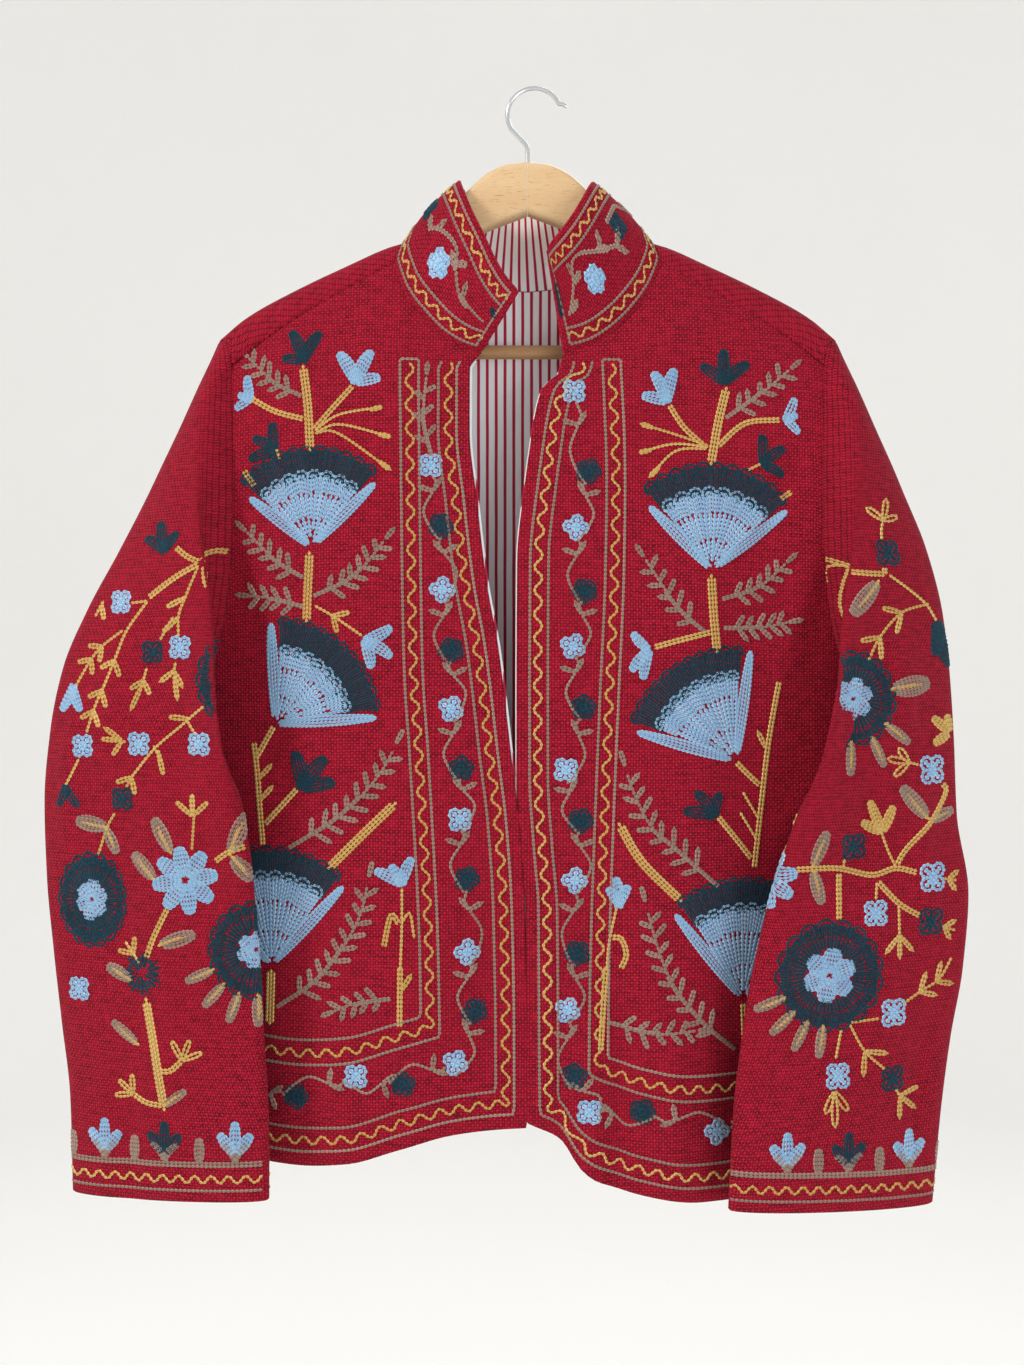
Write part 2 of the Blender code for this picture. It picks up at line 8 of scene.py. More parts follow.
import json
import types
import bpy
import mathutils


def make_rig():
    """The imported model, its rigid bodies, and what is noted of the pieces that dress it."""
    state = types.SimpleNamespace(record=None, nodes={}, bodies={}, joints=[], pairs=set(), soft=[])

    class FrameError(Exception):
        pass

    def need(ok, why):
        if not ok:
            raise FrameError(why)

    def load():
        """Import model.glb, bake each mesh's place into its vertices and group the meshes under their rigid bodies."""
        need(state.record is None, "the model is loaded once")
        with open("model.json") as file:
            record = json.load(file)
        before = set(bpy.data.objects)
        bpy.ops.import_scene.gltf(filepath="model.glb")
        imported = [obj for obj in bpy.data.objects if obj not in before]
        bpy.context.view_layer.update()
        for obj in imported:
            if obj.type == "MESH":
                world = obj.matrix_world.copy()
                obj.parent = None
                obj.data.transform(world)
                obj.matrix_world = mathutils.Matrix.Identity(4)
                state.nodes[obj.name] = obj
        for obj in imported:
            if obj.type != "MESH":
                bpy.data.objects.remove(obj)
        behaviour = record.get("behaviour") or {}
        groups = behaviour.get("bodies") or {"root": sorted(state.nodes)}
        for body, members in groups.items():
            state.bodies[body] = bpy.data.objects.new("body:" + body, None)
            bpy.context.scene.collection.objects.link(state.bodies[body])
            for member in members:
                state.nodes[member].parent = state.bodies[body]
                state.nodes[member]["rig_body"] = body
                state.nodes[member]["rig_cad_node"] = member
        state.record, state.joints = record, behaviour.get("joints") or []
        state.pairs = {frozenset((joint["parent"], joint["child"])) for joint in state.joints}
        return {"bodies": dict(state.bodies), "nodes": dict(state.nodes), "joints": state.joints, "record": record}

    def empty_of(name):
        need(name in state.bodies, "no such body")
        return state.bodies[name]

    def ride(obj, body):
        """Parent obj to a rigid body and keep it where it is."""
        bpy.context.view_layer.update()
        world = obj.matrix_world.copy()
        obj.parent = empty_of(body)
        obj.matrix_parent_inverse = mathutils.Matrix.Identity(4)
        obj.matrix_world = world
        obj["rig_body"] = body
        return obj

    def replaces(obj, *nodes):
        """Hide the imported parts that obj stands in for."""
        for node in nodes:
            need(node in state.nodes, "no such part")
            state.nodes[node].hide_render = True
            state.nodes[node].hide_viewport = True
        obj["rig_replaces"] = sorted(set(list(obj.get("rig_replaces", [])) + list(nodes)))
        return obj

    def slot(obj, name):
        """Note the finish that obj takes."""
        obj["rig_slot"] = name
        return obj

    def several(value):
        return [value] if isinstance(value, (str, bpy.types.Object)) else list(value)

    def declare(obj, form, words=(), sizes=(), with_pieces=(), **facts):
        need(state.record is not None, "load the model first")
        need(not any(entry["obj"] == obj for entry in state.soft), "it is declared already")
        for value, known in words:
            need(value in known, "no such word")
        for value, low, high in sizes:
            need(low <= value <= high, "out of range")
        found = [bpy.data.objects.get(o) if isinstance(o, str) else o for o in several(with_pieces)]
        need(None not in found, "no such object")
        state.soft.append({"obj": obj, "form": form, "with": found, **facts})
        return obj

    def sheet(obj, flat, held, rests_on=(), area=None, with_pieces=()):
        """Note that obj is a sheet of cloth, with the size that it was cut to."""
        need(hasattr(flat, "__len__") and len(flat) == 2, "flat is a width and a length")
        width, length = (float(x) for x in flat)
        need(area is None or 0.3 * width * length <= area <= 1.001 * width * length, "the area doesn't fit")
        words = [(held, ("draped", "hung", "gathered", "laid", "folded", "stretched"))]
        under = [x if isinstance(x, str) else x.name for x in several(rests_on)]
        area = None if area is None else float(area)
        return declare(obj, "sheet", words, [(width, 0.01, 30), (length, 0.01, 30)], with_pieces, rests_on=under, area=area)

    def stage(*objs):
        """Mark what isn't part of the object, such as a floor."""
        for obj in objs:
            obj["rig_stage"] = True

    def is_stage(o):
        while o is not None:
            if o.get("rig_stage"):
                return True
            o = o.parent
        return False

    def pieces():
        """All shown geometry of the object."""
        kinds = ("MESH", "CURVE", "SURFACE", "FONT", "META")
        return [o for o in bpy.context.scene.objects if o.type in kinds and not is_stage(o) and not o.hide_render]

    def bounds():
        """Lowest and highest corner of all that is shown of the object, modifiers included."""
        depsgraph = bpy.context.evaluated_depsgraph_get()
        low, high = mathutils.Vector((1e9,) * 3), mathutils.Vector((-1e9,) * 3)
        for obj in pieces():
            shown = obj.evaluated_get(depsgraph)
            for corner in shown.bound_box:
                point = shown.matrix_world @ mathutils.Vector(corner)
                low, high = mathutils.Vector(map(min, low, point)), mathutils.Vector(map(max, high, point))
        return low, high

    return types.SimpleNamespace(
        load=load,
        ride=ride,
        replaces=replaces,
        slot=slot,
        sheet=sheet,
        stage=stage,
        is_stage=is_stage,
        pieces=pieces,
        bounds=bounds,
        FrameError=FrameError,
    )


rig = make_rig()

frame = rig.load()

import json
import math

import bmesh
import bpy
import numpy as np
from mathutils import Vector

cad_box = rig.bounds()


MM = 0.001

# Driving dimensions, in millimetres.
CENTRE_X = -4.8            # the hanger's centre line stands this far left of the hook's inside top
CLOTH = 2.0                # thick slubby cotton, hem and seams pressed flat
LINING = 1.0               # thin striped cotton
SEAM_GAP = 0.3             # between two sewn pieces
HOOK_TOP_Z = 10.0          # the hook's inside top in the tables
SHOULDER_FRONT = 13.0      # from the ridge of the shoulder forward to its seam
SHOULDER_BACK = 13.0
BODY_FRONT = 28.0          # how much further forward the fronts hang than the shoulder seam
BODY_BACK = 14.0
SIDE_Y = -4.0              # the side seams lie nearly in the plane of the hanger
HANGER_THICK = 14.0
BAR_RADIUS = 4.8
BAR_Z = -174.0
WIRE_RADIUS = 1.6
HOOK_RADIUS = 17.4         # inside the hook's loop
CROWN_TOP_Z = -41.0

# The ridge of the shoulder, the shoulder seam and the neck points, for both shoulders alike.
RIDGE = (                  # distance from the centre, height
    (0, -88), (45, -91), (72, -95), (88, -99), (98, -102), (123, -113), (163, -132),
    (197, -151), (218, -169),
)
SHOULDER_SEAM = (          # distance from the centre, height
    (88, -112), (98, -117), (123, -131), (155, -149), (180, -165), (205, -184),
)
NECK_POINT = 93.0
NECK_CUT = (               # distance from the centre, cloth cut away behind the shoulder seam's line
    (0, 68), (45, 60), (68, 45), (79, 28), (87, 12), (93, 0), (240, 0),
)
RIDGE_FRONT_LENGTH = 20.0  # cloth from the shoulder seam up to the ridge
RIDGE_BACK_LENGTH = 20.0   # and on to the flat of the back
BACK_COLUMNS = (0, .1, .2, .28, .335, .37, .40, .425, .45, .52, .62, .74, .85, .93, .98, 1)
# How far the armhole and then the side seam stand from the centre, down the body.
SIDE = (                   # height, front panel, back panel
    (-164, 208, 217), (-184, 206, 213), (-215, 205, 210), (-250, 204, 209), (-295, 204, 209),
    (-340, 207, 211), (-375, 213, 216), (-400, 222, 224), (-415, 231, 231), (-470, 232, 232),
    (-600, 233, 233), (-760, 236, 236),
)
UNDERARM_Z = -415.0
# How wide the flattened body would be at each height, before the armholes cut it.
GIRTH = ((-110, 262), (-300, 250), (-380, 240), (-415, 231), (-470, 232), (-600, 233), (-760, 236))

LEFT, RIGHT = -1, 1
FRONT_EDGE = {             # height, x of the front edge
    LEFT: ((-178, -32), (-190, -41), (-233, -41), (-281, -36), (-336, -29.5), (-384, -21),
           (-460, -12), (-501, -7), (-560, -3.2), (-640, -1.6), (-760, -1.4)),
    RIGHT: ((-178, 25), (-193, 22), (-203, 11), (-226, 5), (-246, 2), (-268, -1), (-322, -6.5),
            (-418, -7), (-469, -7), (-520, -4), (-560, -0.9), (-640, -0.4), (-760, 0.2)),
}
NECKLINE = {               # x and height from the shoulder seam's neck point to the front edge
    LEFT: ((-93, -114.5), (-86, -135), (-72, -154), (-59, -167), (-45, -175), (-32, -179)),
    RIGHT: ((93, -114.5), (86, -132), (74, -149), (60, -163), (43, -174), (25, -179)),
}
FRONT_HEM = {              # distance from the centre, height
    LEFT: ((0, -708), (19, -709), (53, -713), (88, -722), (122, -732), (156, -735), (236, -727)),
    RIGHT: ((0, -705), (22, -716), (36, -735), (50, -744), (77, -753), (118, -759), (160, -759),
            (236, -750)),
}
BACK_HEM = ((-236, -727), (-120, -712), (0, -703), (120, -722), (236, -748))   # x, height

# Soft folds: x and height at both ends, width, and how far the cloth stands out there.
FRONT_FOLDS = {
    LEFT: ((-62, -260, -84, -700, 26, 5.0), (-205, -230, -205, -420, 42, -13),
           (-112, -200, -120, -420, 22, 3.0)),
    RIGHT: ((39, -560, 43, -770, 13, 9.0), (20, -600, 20, -770, 10, -4.0),
            (66, -260, 88, -700, 24, 4.0), (190, -230, 180, -420, 56, -15),
            (112, -200, 118, -420, 22, 3.0)),
}
BACK_FOLDS = (
    (-40, -250, -62, -710, 30, 5.0), (52, -230, 70, -720, 32, 5.5), (-140, -280, -150, -720, 28, 5.0),
    (150, -300, 158, -740, 26, 5.0), (4, -420, 6, -705, 24, 3.5),
)

# One row for each ring of a sleeve: the overarm point, the underarm point, how deep the flattened
# tube is, how far its front rolls towards the body and how far its back tucks away from it.
SLEEVES = {
    LEFT: (  # over x, over z, over y, under x, under z, under y, half depth, roll, tuck
        (-219, -170, 0, -231, -416, -4, 30, 0, 0),
        (-230, -196, -2, -244, -431, -32, 35, 7, 25),
        (-245, -234, -4, -222, -446, -52, 32, 18, 28),
        (-262, -272, -6, -204, -462, -61, 28, 11, 20),
        (-284, -315, -7, -194, -482, -60, 24, 2, 10),
        (-306, -356, -8, -189, -507, -60, 22, 0, 3),
        (-323, -396, -8, -186, -532, -59, 20, 0, 0),
        (-332, -440, -8, -184, -558, -58, 19, 0, 0),
        (-336, -489, -8, -182, -588, -57, 18, 0, 0),
        (-334, -542, -9, -180, -618, -57, 17, 0, 0),
        (-329, -593, -10, -178, -649, -57, 16, 0, 0),
        (-323, -643, -11, -176, -680, -57, 16, 0, 0),
        (-317, -694, -12, -175, -711, -57, 15, 0, 0),
        (-315, -758, -13, -175, -752, -57, 14, 0, 0),
    ),
    RIGHT: (
        (219, -170, 0, 231, -416, -4, 30, 0, 0),
        (231, -198, -2, 243, -431, -32, 35, 7, 30),
        (245, -235, -4, 219, -447, -54, 32, 18, 30),
        (260, -272, -6, 198, -465, -65, 28, 12, 22),
        (277, -314, -7, 183, -487, -66, 24, 4, 12),
        (288, -358, -8, 174, -510, -67, 22, 0, 4),
        (293, -400, -8, 166, -535, -67, 20, 0, 0),
        (296, -447, -8, 159, -560, -67, 19, 0, 0),
        (298, -498, -8, 152, -590, -67, 18, 0, 0),
        (306, -552, -9, 146, -620, -67, 17, 0, 0),
        (302, -603, -10, 142, -651, -67, 16, 0, 0),
        (293, -652, -11, 138, -684, -67, 16, 0, 0),
        (286, -703, -12, 136, -716, -67, 15, 0, 0),
        (280, -766, -13, 134, -756, -67, 14, 0, 0),
    ),
}
SLEEVE_CREASES = (         # turn round the sleeve from the overarm, ring, widths of both, depth
    (0.24, 4.6, 0.07, 0.7, -3.5), (0.30, 7.4, 0.10, 0.5, -3.0), (0.17, 9.2, 0.08, 0.6, -2.5),
    (0.70, 5.4, 0.09, 0.7, -3.5), (0.78, 8.6, 0.09, 0.6, -3.0), (0.26, 11.2, 0.09, 0.5, 2.0),
)

# The free edge of the stand collar, from its left front corner round the neck to its right one.
COLLAR_EDGE = (  # share of the neck seam, x, y, z
    (0.00, -7, -45, -141), (0.04, -15, -41, -131), (0.08, -22, -38, -119), (0.12, -31, -33, -99),
    (0.16, -40, -26, -79), (0.205, -46, -15, -62), (0.255, -48, 1, -54), (0.32, -43, 20, -58),
    (0.41, -26, 33, -62), (0.50, 0, 37, -64), (0.59, 26, 33, -62), (0.68, 43, 20, -58),
    (0.745, 46, 1, -55), (0.795, 43, -17, -62), (0.84, 36, -30, -77), (0.88, 28, -37, -91),
    (0.92, 20, -40, -102), (0.96, 15, -38, -108), (1.00, 13, -36, -112),
)
COLLAR_BELLY = 3.0         # how far the collar's band bulges out between its two edges

# The hanger.
CROWN = (                  # distance from the mitre, height
    (0, -41), (14, -42.6), (28, -48.6), (43, -62), (61, -81), (78, -101), (90, -106),
)
ARM_END = ((196, -158), (202, -166), (203, -175), (199, -183), (194, -185), (188, -185), (188, -166))
ARM_UNDER = ((172, -160), (142, -149), (112, -135), (77, -116), (33, -91), (0, -78))
ARM_EDGE_BEVEL = 5.0
ARM_BELOW_RIDGE = 3.1      # the cloth's half thickness, its turn over the arm and the gap

# How fine the cloth is here: columns and rows of each panel's grid.
FRONT_COLUMNS = 60
FRONT_ABOVE, FRONT_BELOW = 48, 66      # rows beside the armhole and down the side seam
BACK_FINER = 3                         # columns for each of the solid's own
BACK_RIDGE, BACK_ABOVE, BACK_BELOW = 16, 44, 48
SLEEVE_COLUMNS, SLEEVE_ROWS = 92, 116
COLLAR_COLUMNS, COLLAR_ROWS = 120, 15
LINING_PAST_EDGE = {LEFT: 2.0, RIGHT: 1.2}   # its pale edge shows so far beside each front edge
LINING_SHORT = 11          # columns that it leaves bare beside the side seam
BACK_LINING_LOW = 40.0     # the back's starts so far past the shoulder seam, or below the neckline

# Chain stitch, in millimetres.
LINK = 3.0                             # length of one link of the chain
FAR_LINK = 4.6                         # the same on the sides away from the photo, to save triangles
ROW_WIDTH = 2.3
ROW_GAP = 2.15                         # between the middles of two rows that fill a shape
THREAD_HEIGHT = 1.0
THREAD_SUNK = 0.35                     # how deep a row's edges lie in the weave
SHORTEST_ROW = 1.5                     # a shorter one isn't sewn
JOINT_WIDTH = 0.55                     # of a row where two links meet, as a share of its own
CHART_STEP = 2.0                       # lattice on which each panel's face is read

NAVY, SKY, GOLD, TAUPE = "navy", "sky", "gold", "taupe"

# The flowers' places were read where they are seen against a plane SEEN_DEPTH from the hanger's,
# about SEEN_FROM, the middle of the view. Cloth nearer the eye looks larger, and is drawn in.
SEEN_FROM = -11 - 406j
SEEN_DEPTH = -30.0
EYE = 1220.0               # from the camera to that plane
PIXEL = 0.686              # of the photograph, at that plane
PHOTO_HEIGHT = 1365        # in its pixels
SENSOR = 36.0
FLOOR_Z, FLOOR_RADIUS, WALL_TOP = -1.45, 3.2, 2.6   # of the studio, in metres

# Small creases pressed and hung into the cloth: x and height at both ends, width, how far they
# stand out.
CREASE_DEPTH = 2.0         # all of them are this many times deeper
FINE_FOLDS = {
    LEFT: (
        (-190, -250, -150, -330, 9, -1.6), (-196, -300, -168, -400, 8, 1.4),
        (-120, -150, -60, -230, 14, 1.5), (-100, -380, -60, -420, 12, -1.2),
        (-214, -450, -150, -520, 12, 1.6), (-60, -480, -52, -640, 9, 1.3),
        (-30, -560, -24, -690, 8, -1.3), (-130, -640, -124, -725, 12, 1.8),
        (-190, -620, -182, -720, 10, -1.6), (-90, -660, -88, -715, 9, -1.2),
    ),
    RIGHT: (
        (190, -240, 150, -330, 9, -1.6), (200, -310, 172, -410, 8, 1.5),
        (112, -150, 58, -240, 14, 1.6), (96, -400, 60, -430, 12, -1.2),
        (216, -460, 160, -530, 12, 1.6), (24, -320, 26, -520, 8, 1.2),
        (66, -600, 62, -745, 8, -1.8), (96, -640, 100, -750, 11, 1.8),
        (150, -650, 146, -755, 12, -1.6), (12, -560, 12, -700, 7, 1.4),
    ),
}
FINE_BACK_FOLDS = (
    (-120, -180, -60, -290, 13, 1.8), (118, -190, 70, -300, 13, -1.6), (-196, -260, -150, -380, 10, 1.8),
    (192, -250, 156, -360, 10, 1.8), (-90, -420, -80, -690, 12, -1.8), (30, -480, 36, -710, 11, 1.8),
    (104, -520, 112, -720, 13, -1.8), (-180, -560, -176, -720, 12, 1.8), (-16, -300, 10, -340, 15, -1.2),
)
FINE_CREASES = {           # turn round the sleeve from the overarm, ring, widths of both, depth
    LEFT: (
        (0.18, 5.6, 0.03, 1.3, 2.0), (0.30, 5.0, 0.03, 0.9, -2.2), (0.36, 6.6, 0.03, 0.8, -1.8),
        (0.22, 8.3, 0.028, 1.2, -1.8), (0.12, 7.3, 0.025, 1.0, 1.6), (0.28, 10.2, 0.03, 1.0, 1.7),
        (0.20, 12.2, 0.03, 0.8, -1.5), (0.66, 6.2, 0.03, 1.1, 2.0), (0.74, 7.8, 0.03, 1.0, -2.0),
        (0.82, 10.0, 0.03, 1.2, 1.8),
    ),
    RIGHT: (
        (0.20, 5.2, 0.03, 1.2, 2.2), (0.31, 4.6, 0.03, 0.8, -2.0), (0.27, 6.9, 0.028, 0.9, -2.2),
        (0.16, 8.0, 0.03, 1.1, 2.0), (0.34, 8.9, 0.028, 0.9, -1.7), (0.23, 9.9, 0.03, 1.2, 1.6),
        (0.14, 11.4, 0.03, 0.9, -1.6), (0.68, 5.8, 0.03, 1.2, 2.0), (0.77, 7.4, 0.03, 1.0, -2.0),
        (0.84, 9.6, 0.03, 1.2, 1.8),
    ),
}

SIDE_NAMES = {LEFT: "left", RIGHT: "right"}
INNER_BAND = {             # height, x of the middle of the inner band
    LEFT: ((-184, -81.5), (-300, -80), (-400, -78), (-450, -74.5), (-600, -67), (-700, -66)),
    RIGHT: ((-184, 57.5), (-265, 60), (-330, 59), (-420, 55), (-520, 51), (-600, 48.5), (-700, 47)),
}
INNER_BAND_HALF = 6.3      # from its middle to each of its lines
FRONT_NEARNESS, SLEEVE_NEARNESS = 0.989, 0.982   # how far they draw in the places read on them
COLLAR_HEIGHT = 58.0       # of its chart, whose outermost COLLAR_TRUE at both edges is to scale
COLLAR_TRUE = 20
CUFF_FLOWERS = {           # x and thread of each bud on the front of a cuff
    LEFT: ((-289, SKY), (-245, NAVY), (-196, SKY)),
    RIGHT: ((172, SKY), (215, NAVY), (260, SKY)),
}

# Two threads of the crimson cotton. They are drawn coarser than they are, to show at this size.
WEAVE_PITCH = 3.8
STRIPE_PITCH, STRIPE_WIDE = 6.3, 2.1   # of the lining

# Each piece as it is cut, in metres: width, length, and area where it isn't a rectangle.
CUTS = {
    "front_left": {"flat": (0.25, 0.63), "area": 0.124},
    "front_right": {"flat": (0.25, 0.66), "area": 0.140},
    "front_lining_left": {"flat": (0.24, 0.62), "area": 0.110},
    "front_lining_right": {"flat": (0.24, 0.65), "area": 0.124},
    "back": {"flat": (0.50, 0.66), "area": 0.284},
    "back_lining": {"flat": (0.48, 0.60), "area": 0.258},
    "sleeve": {"flat": (0.36, 0.60), "area": 0.159},
    "collar": {"flat": (0.44, 0.07), "area": 0.026},
    "collar_lining": {"flat": (0.43, 0.065), "area": 0.024},
}


def smooth(table, at, column=1):
    """The value of a table's column, by monotone cubic pieces between its rows."""
    rows = np.array(sorted(table, key=lambda row: row[0]), float)
    x = rows[:, 0]
    y = rows[:, column]
    step = np.diff(x)
    slope = np.diff(y) / step
    tangent = np.empty(len(x))
    tangent[0], tangent[-1] = slope[0], slope[-1]
    same_way = slope[:-1] * slope[1:] > 0
    inner = 2 * slope[:-1] * slope[1:] / np.where(same_way, slope[:-1] + slope[1:], 1)
    tangent[1:-1] = np.where(same_way, inner, 0)
    at = np.clip(np.asarray(at, float), x[0], x[-1])
    i = np.clip(np.searchsorted(x, at) - 1, 0, len(step) - 1)
    t = (at - x[i]) / step[i]
    return (
        y[i] * (1 + 2 * t) * (1 - t) ** 2
        + tangent[i] * step[i] * t * (1 - t) ** 2
        + y[i + 1] * t * t * (3 - 2 * t)
        - tangent[i + 1] * step[i] * t * t * (1 - t)
    )


def along(rows, at, column):
    """A column read at a row number, which need not be whole."""
    return smooth([(k, row[column]) for k, row in enumerate(rows)], at)


def fold_height(folds, x, z):
    """How far soft folds move the cloth at a place of a panel."""
    moved = np.zeros(np.broadcast(x, z).shape)
    for x0, z0, x1, z1, width, height in folds:
        down = np.clip((z0 - z) / (z0 - z1), 0, 1)
        fade = np.sin(np.pi / 2 * down) ** 2
        moved += height * fade * np.exp(-(((x - x0 - (x1 - x0) * down) / width) ** 2))
    return moved


def crease_height(creases, x, z):
    """How far short creases move it: each is a soft ridge or trough that fades at both its ends."""
    moved = np.zeros(np.broadcast(x, z).shape)
    for x0, z0, x1, z1, width, height in creases:
        way = complex(x1 - x0, z1 - z0)
        off = (x - x0 + 1j * (z - z0)) / way
        ends = np.exp(-((2.2 * (off.real - 0.5)) ** 4))
        moved += CREASE_DEPTH * height * ends * np.exp(-((off.imag * abs(way) / width) ** 2))
    return moved


def closing(x, z):
    """One over the middle of the body, falling to nothing where front and back meet at the side."""
    share = np.clip(np.abs(x) / smooth(GIRTH, z), 0, 1)
    return np.sqrt(1 - share**4)


def front_y(x, z, side):
    """Depth of the front panel's cloth."""
    below = np.maximum(0, smooth(SHOULDER_SEAM, np.abs(x)) - z)
    depth = SHOULDER_FRONT + BODY_FRONT * (1 - np.exp(-below / 110))
    depth = depth + fold_height(FRONT_FOLDS[side], x, z) + crease_height(FINE_FOLDS[side], x, z)
    return SIDE_Y - (depth + SIDE_Y) * closing(x, z)


def back_y(x, z):
    """Depth of the back panel's cloth, behind the ridge."""
    below = np.maximum(0, smooth(RIDGE, np.abs(x)) - SHOULDER_BACK - z)
    depth = SHOULDER_BACK + BODY_BACK * (1 - np.exp(-below / 140))
    depth = depth + fold_height(BACK_FOLDS, x, z) + crease_height(FINE_BACK_FOLDS, x, z)
    return SIDE_Y + (depth - SIDE_Y) * closing(x, z)


def crowded(u):
    """Spreads columns so that more of them lie near both edges, where the cloth turns."""
    return (1 - np.cos(math.pi * u)) / 2


def front_panel(side, columns, above, below, past_edge=0.0):
    """Grid of points of one front, rows from the shoulder seam and neckline down to the hem."""
    seam_x = np.linspace(smooth(SIDE, -188), NECK_POINT, 40)[:-1]
    seam = np.column_stack([side * seam_x, smooth(SHOULDER_SEAM, seam_x)])
    neck_z = np.linspace(0, len(NECKLINE[side]) - 1, 40)
    neck = np.column_stack([along(NECKLINE[side], neck_z, 0), along(NECKLINE[side], neck_z, 1)])
    top = np.vstack([seam, neck])
    top[:, 1] -= SEAM_GAP

    def across(x, z):
        outer = side * smooth(SIDE, z)
        return (x - outer) / (smooth(FRONT_EDGE[side], z) - outer)

    u = crowded(np.linspace(0, 1, columns))
    neck_point = across(side * NECK_POINT, smooth(SHOULDER_SEAM, NECK_POINT))
    u[np.argmin(np.abs(u - neck_point))] = neck_point
    top_z = np.interp(u, across(top[:, 0], top[:, 1]), top[:, 1])
    hem_x = side * np.linspace(236, 0, 80)
    hem_z = smooth(FRONT_HEM[side], np.abs(hem_x))
    low_z = np.interp(u, across(hem_x, hem_z), hem_z)
    upper = np.linspace(0, 1, above + 1)[:-1, None]
    lower = np.linspace(0, 1, below + 1)[:, None]
    z = np.vstack([
        top_z + (UNDERARM_Z - top_z) * upper,
        UNDERARM_Z + (low_z - UNDERARM_Z) * lower,
    ])
    outer = side * smooth(SIDE, z)
    edge = smooth(FRONT_EDGE[side], z) - side * past_edge
    x = outer + (edge - outer) * u
    y = front_y(x, z, side)
    side_seam = (u == 0) & (z <= UNDERARM_Z)
    y = np.where(side_seam, y - 2 * SEAM_GAP, y)
    return np.stack([x, y, z], axis=-1)


def back_panel(finer, ridge_rows, above, below, lowered=0.0):
    """Grid of the back, from the shoulder seams over the ridge, and from the neckline, to the hem.

    With a lowered start it leaves the ridge bare, as the lining does.
    """
    half = np.interp(
        np.linspace(0, len(BACK_COLUMNS) - 1, (len(BACK_COLUMNS) - 1) * finer + 1),
        np.arange(len(BACK_COLUMNS)),
        BACK_COLUMNS,
    )
    spread = np.r_[-half[:0:-1], half]
    underarm_row = ridge_rows + above
    rows = underarm_row + 1 + below
    share = np.broadcast_to(spread, (rows, len(spread)))
    x = share * smooth(SIDE, -184, 2)
    arc = RIDGE_FRONT_LENGTH + RIDGE_BACK_LENGTH
    start = np.linspace(0, arc if lowered == 0 else 4, ridge_rows)[:, None]
    upper = np.linspace(0, 1, above + 2)[1:-1, None]
    lower = np.linspace(0, 1, below + 1)[:, None]
    for _ in range(6):
        ridge = smooth(RIDGE, np.abs(x))
        first = np.maximum(smooth(NECK_CUT, np.abs(x[0])) + SEAM_GAP, lowered)
        under = arc + ridge[underarm_row] - SHOULDER_BACK - UNDERARM_Z
        last = arc + ridge[-1] - SHOULDER_BACK - smooth(BACK_HEM, x[-1])
        turned = first + start
        run = np.vstack([
            turned,
            turned[-1] + (under - turned[-1]) * upper,
            under + (last - under) * lower,
        ])
        ahead = run < RIDGE_FRONT_LENGTH
        turn = np.where(
            ahead,
            run / RIDGE_FRONT_LENGTH,
            1 + np.minimum(1, (run - RIDGE_FRONT_LENGTH) / RIDGE_BACK_LENGTH),
        ) * math.pi / 2
        drop = np.where(ahead, ridge - smooth(SHOULDER_SEAM, np.abs(x)), SHOULDER_BACK)
        z = ridge - drop * (1 - np.sin(turn)) - np.maximum(0, run - arc)
        y = -np.cos(turn) * np.where(ahead, SHOULDER_FRONT, SHOULDER_BACK)
        behind = np.clip(1 + y / SHOULDER_FRONT, 0, 1)
        side_x = smooth(SIDE, z, 1) * (1 - behind) + smooth(SIDE, z, 2) * behind
        x = share * side_x
    y = np.where(run > arc, back_y(x, z), y)
    side_seam = (np.abs(share) == 1) & (np.arange(rows)[:, None] >= underarm_row)
    y = np.where(side_seam, y + 2 * SEAM_GAP, y)
    return np.stack([x, y, z], axis=-1)


def normals(grid, round_about=False):
    """The way each point of a grid faces, when rows run down and columns run to the right."""
    if round_about:
        across = np.roll(grid, -1, axis=1) - np.roll(grid, 1, axis=1)
    else:
        across = np.gradient(grid, axis=1)
    normal = np.cross(np.gradient(grid, axis=0), across)
    return normal / np.maximum(np.linalg.norm(normal, axis=-1, keepdims=True), 1e-9)


def lengths(points):
    """How far along a line each of its points lies."""
    return np.r_[0, np.cumsum(np.linalg.norm(np.diff(points, axis=0), axis=1))]


def resampled(points, at):
    """Points of a line at the given distances along it."""
    length = lengths(points)
    return np.column_stack([np.interp(at, length, points[:, k]) for k in range(points.shape[1])])


def armhole(side, columns):
    """The loop where a sleeve is sewn on: ridge, front, underarm, back and up to the ridge again.

    Its points are spread as the solid's are, three and two of whose steps cross the ridge.
    """
    front = front_panel(side, 3, 80, 2)[:80, 0]
    back = back_panel(1, 30, 90, 2)[:120, 0 if side == LEFT else -1]
    underarm = [[side * (smooth(SIDE, UNDERARM_Z) + 1.7 * CLOTH), SIDE_Y, UNDERARM_Z - CLOTH]]
    top = int(np.argmax(back[:, 2]))
    forward = np.vstack([back[: top + 1][::-1], front, underarm])
    backward = np.vstack([underarm, back[top:][::-1]])
    steps = np.linspace(0, 13, columns // 2 + 1)
    whole = lengths(forward)[-1]
    forward = resampled(forward, np.interp(steps, (0, 3, 13), (0, 21, whole)))
    whole = lengths(backward)[-1]
    backward = resampled(backward, np.interp(steps, (0, 11, 12, 13), (0, whole - 19, whole - 8, whole)))
    return np.vstack([forward[:-1], backward[:-1]])


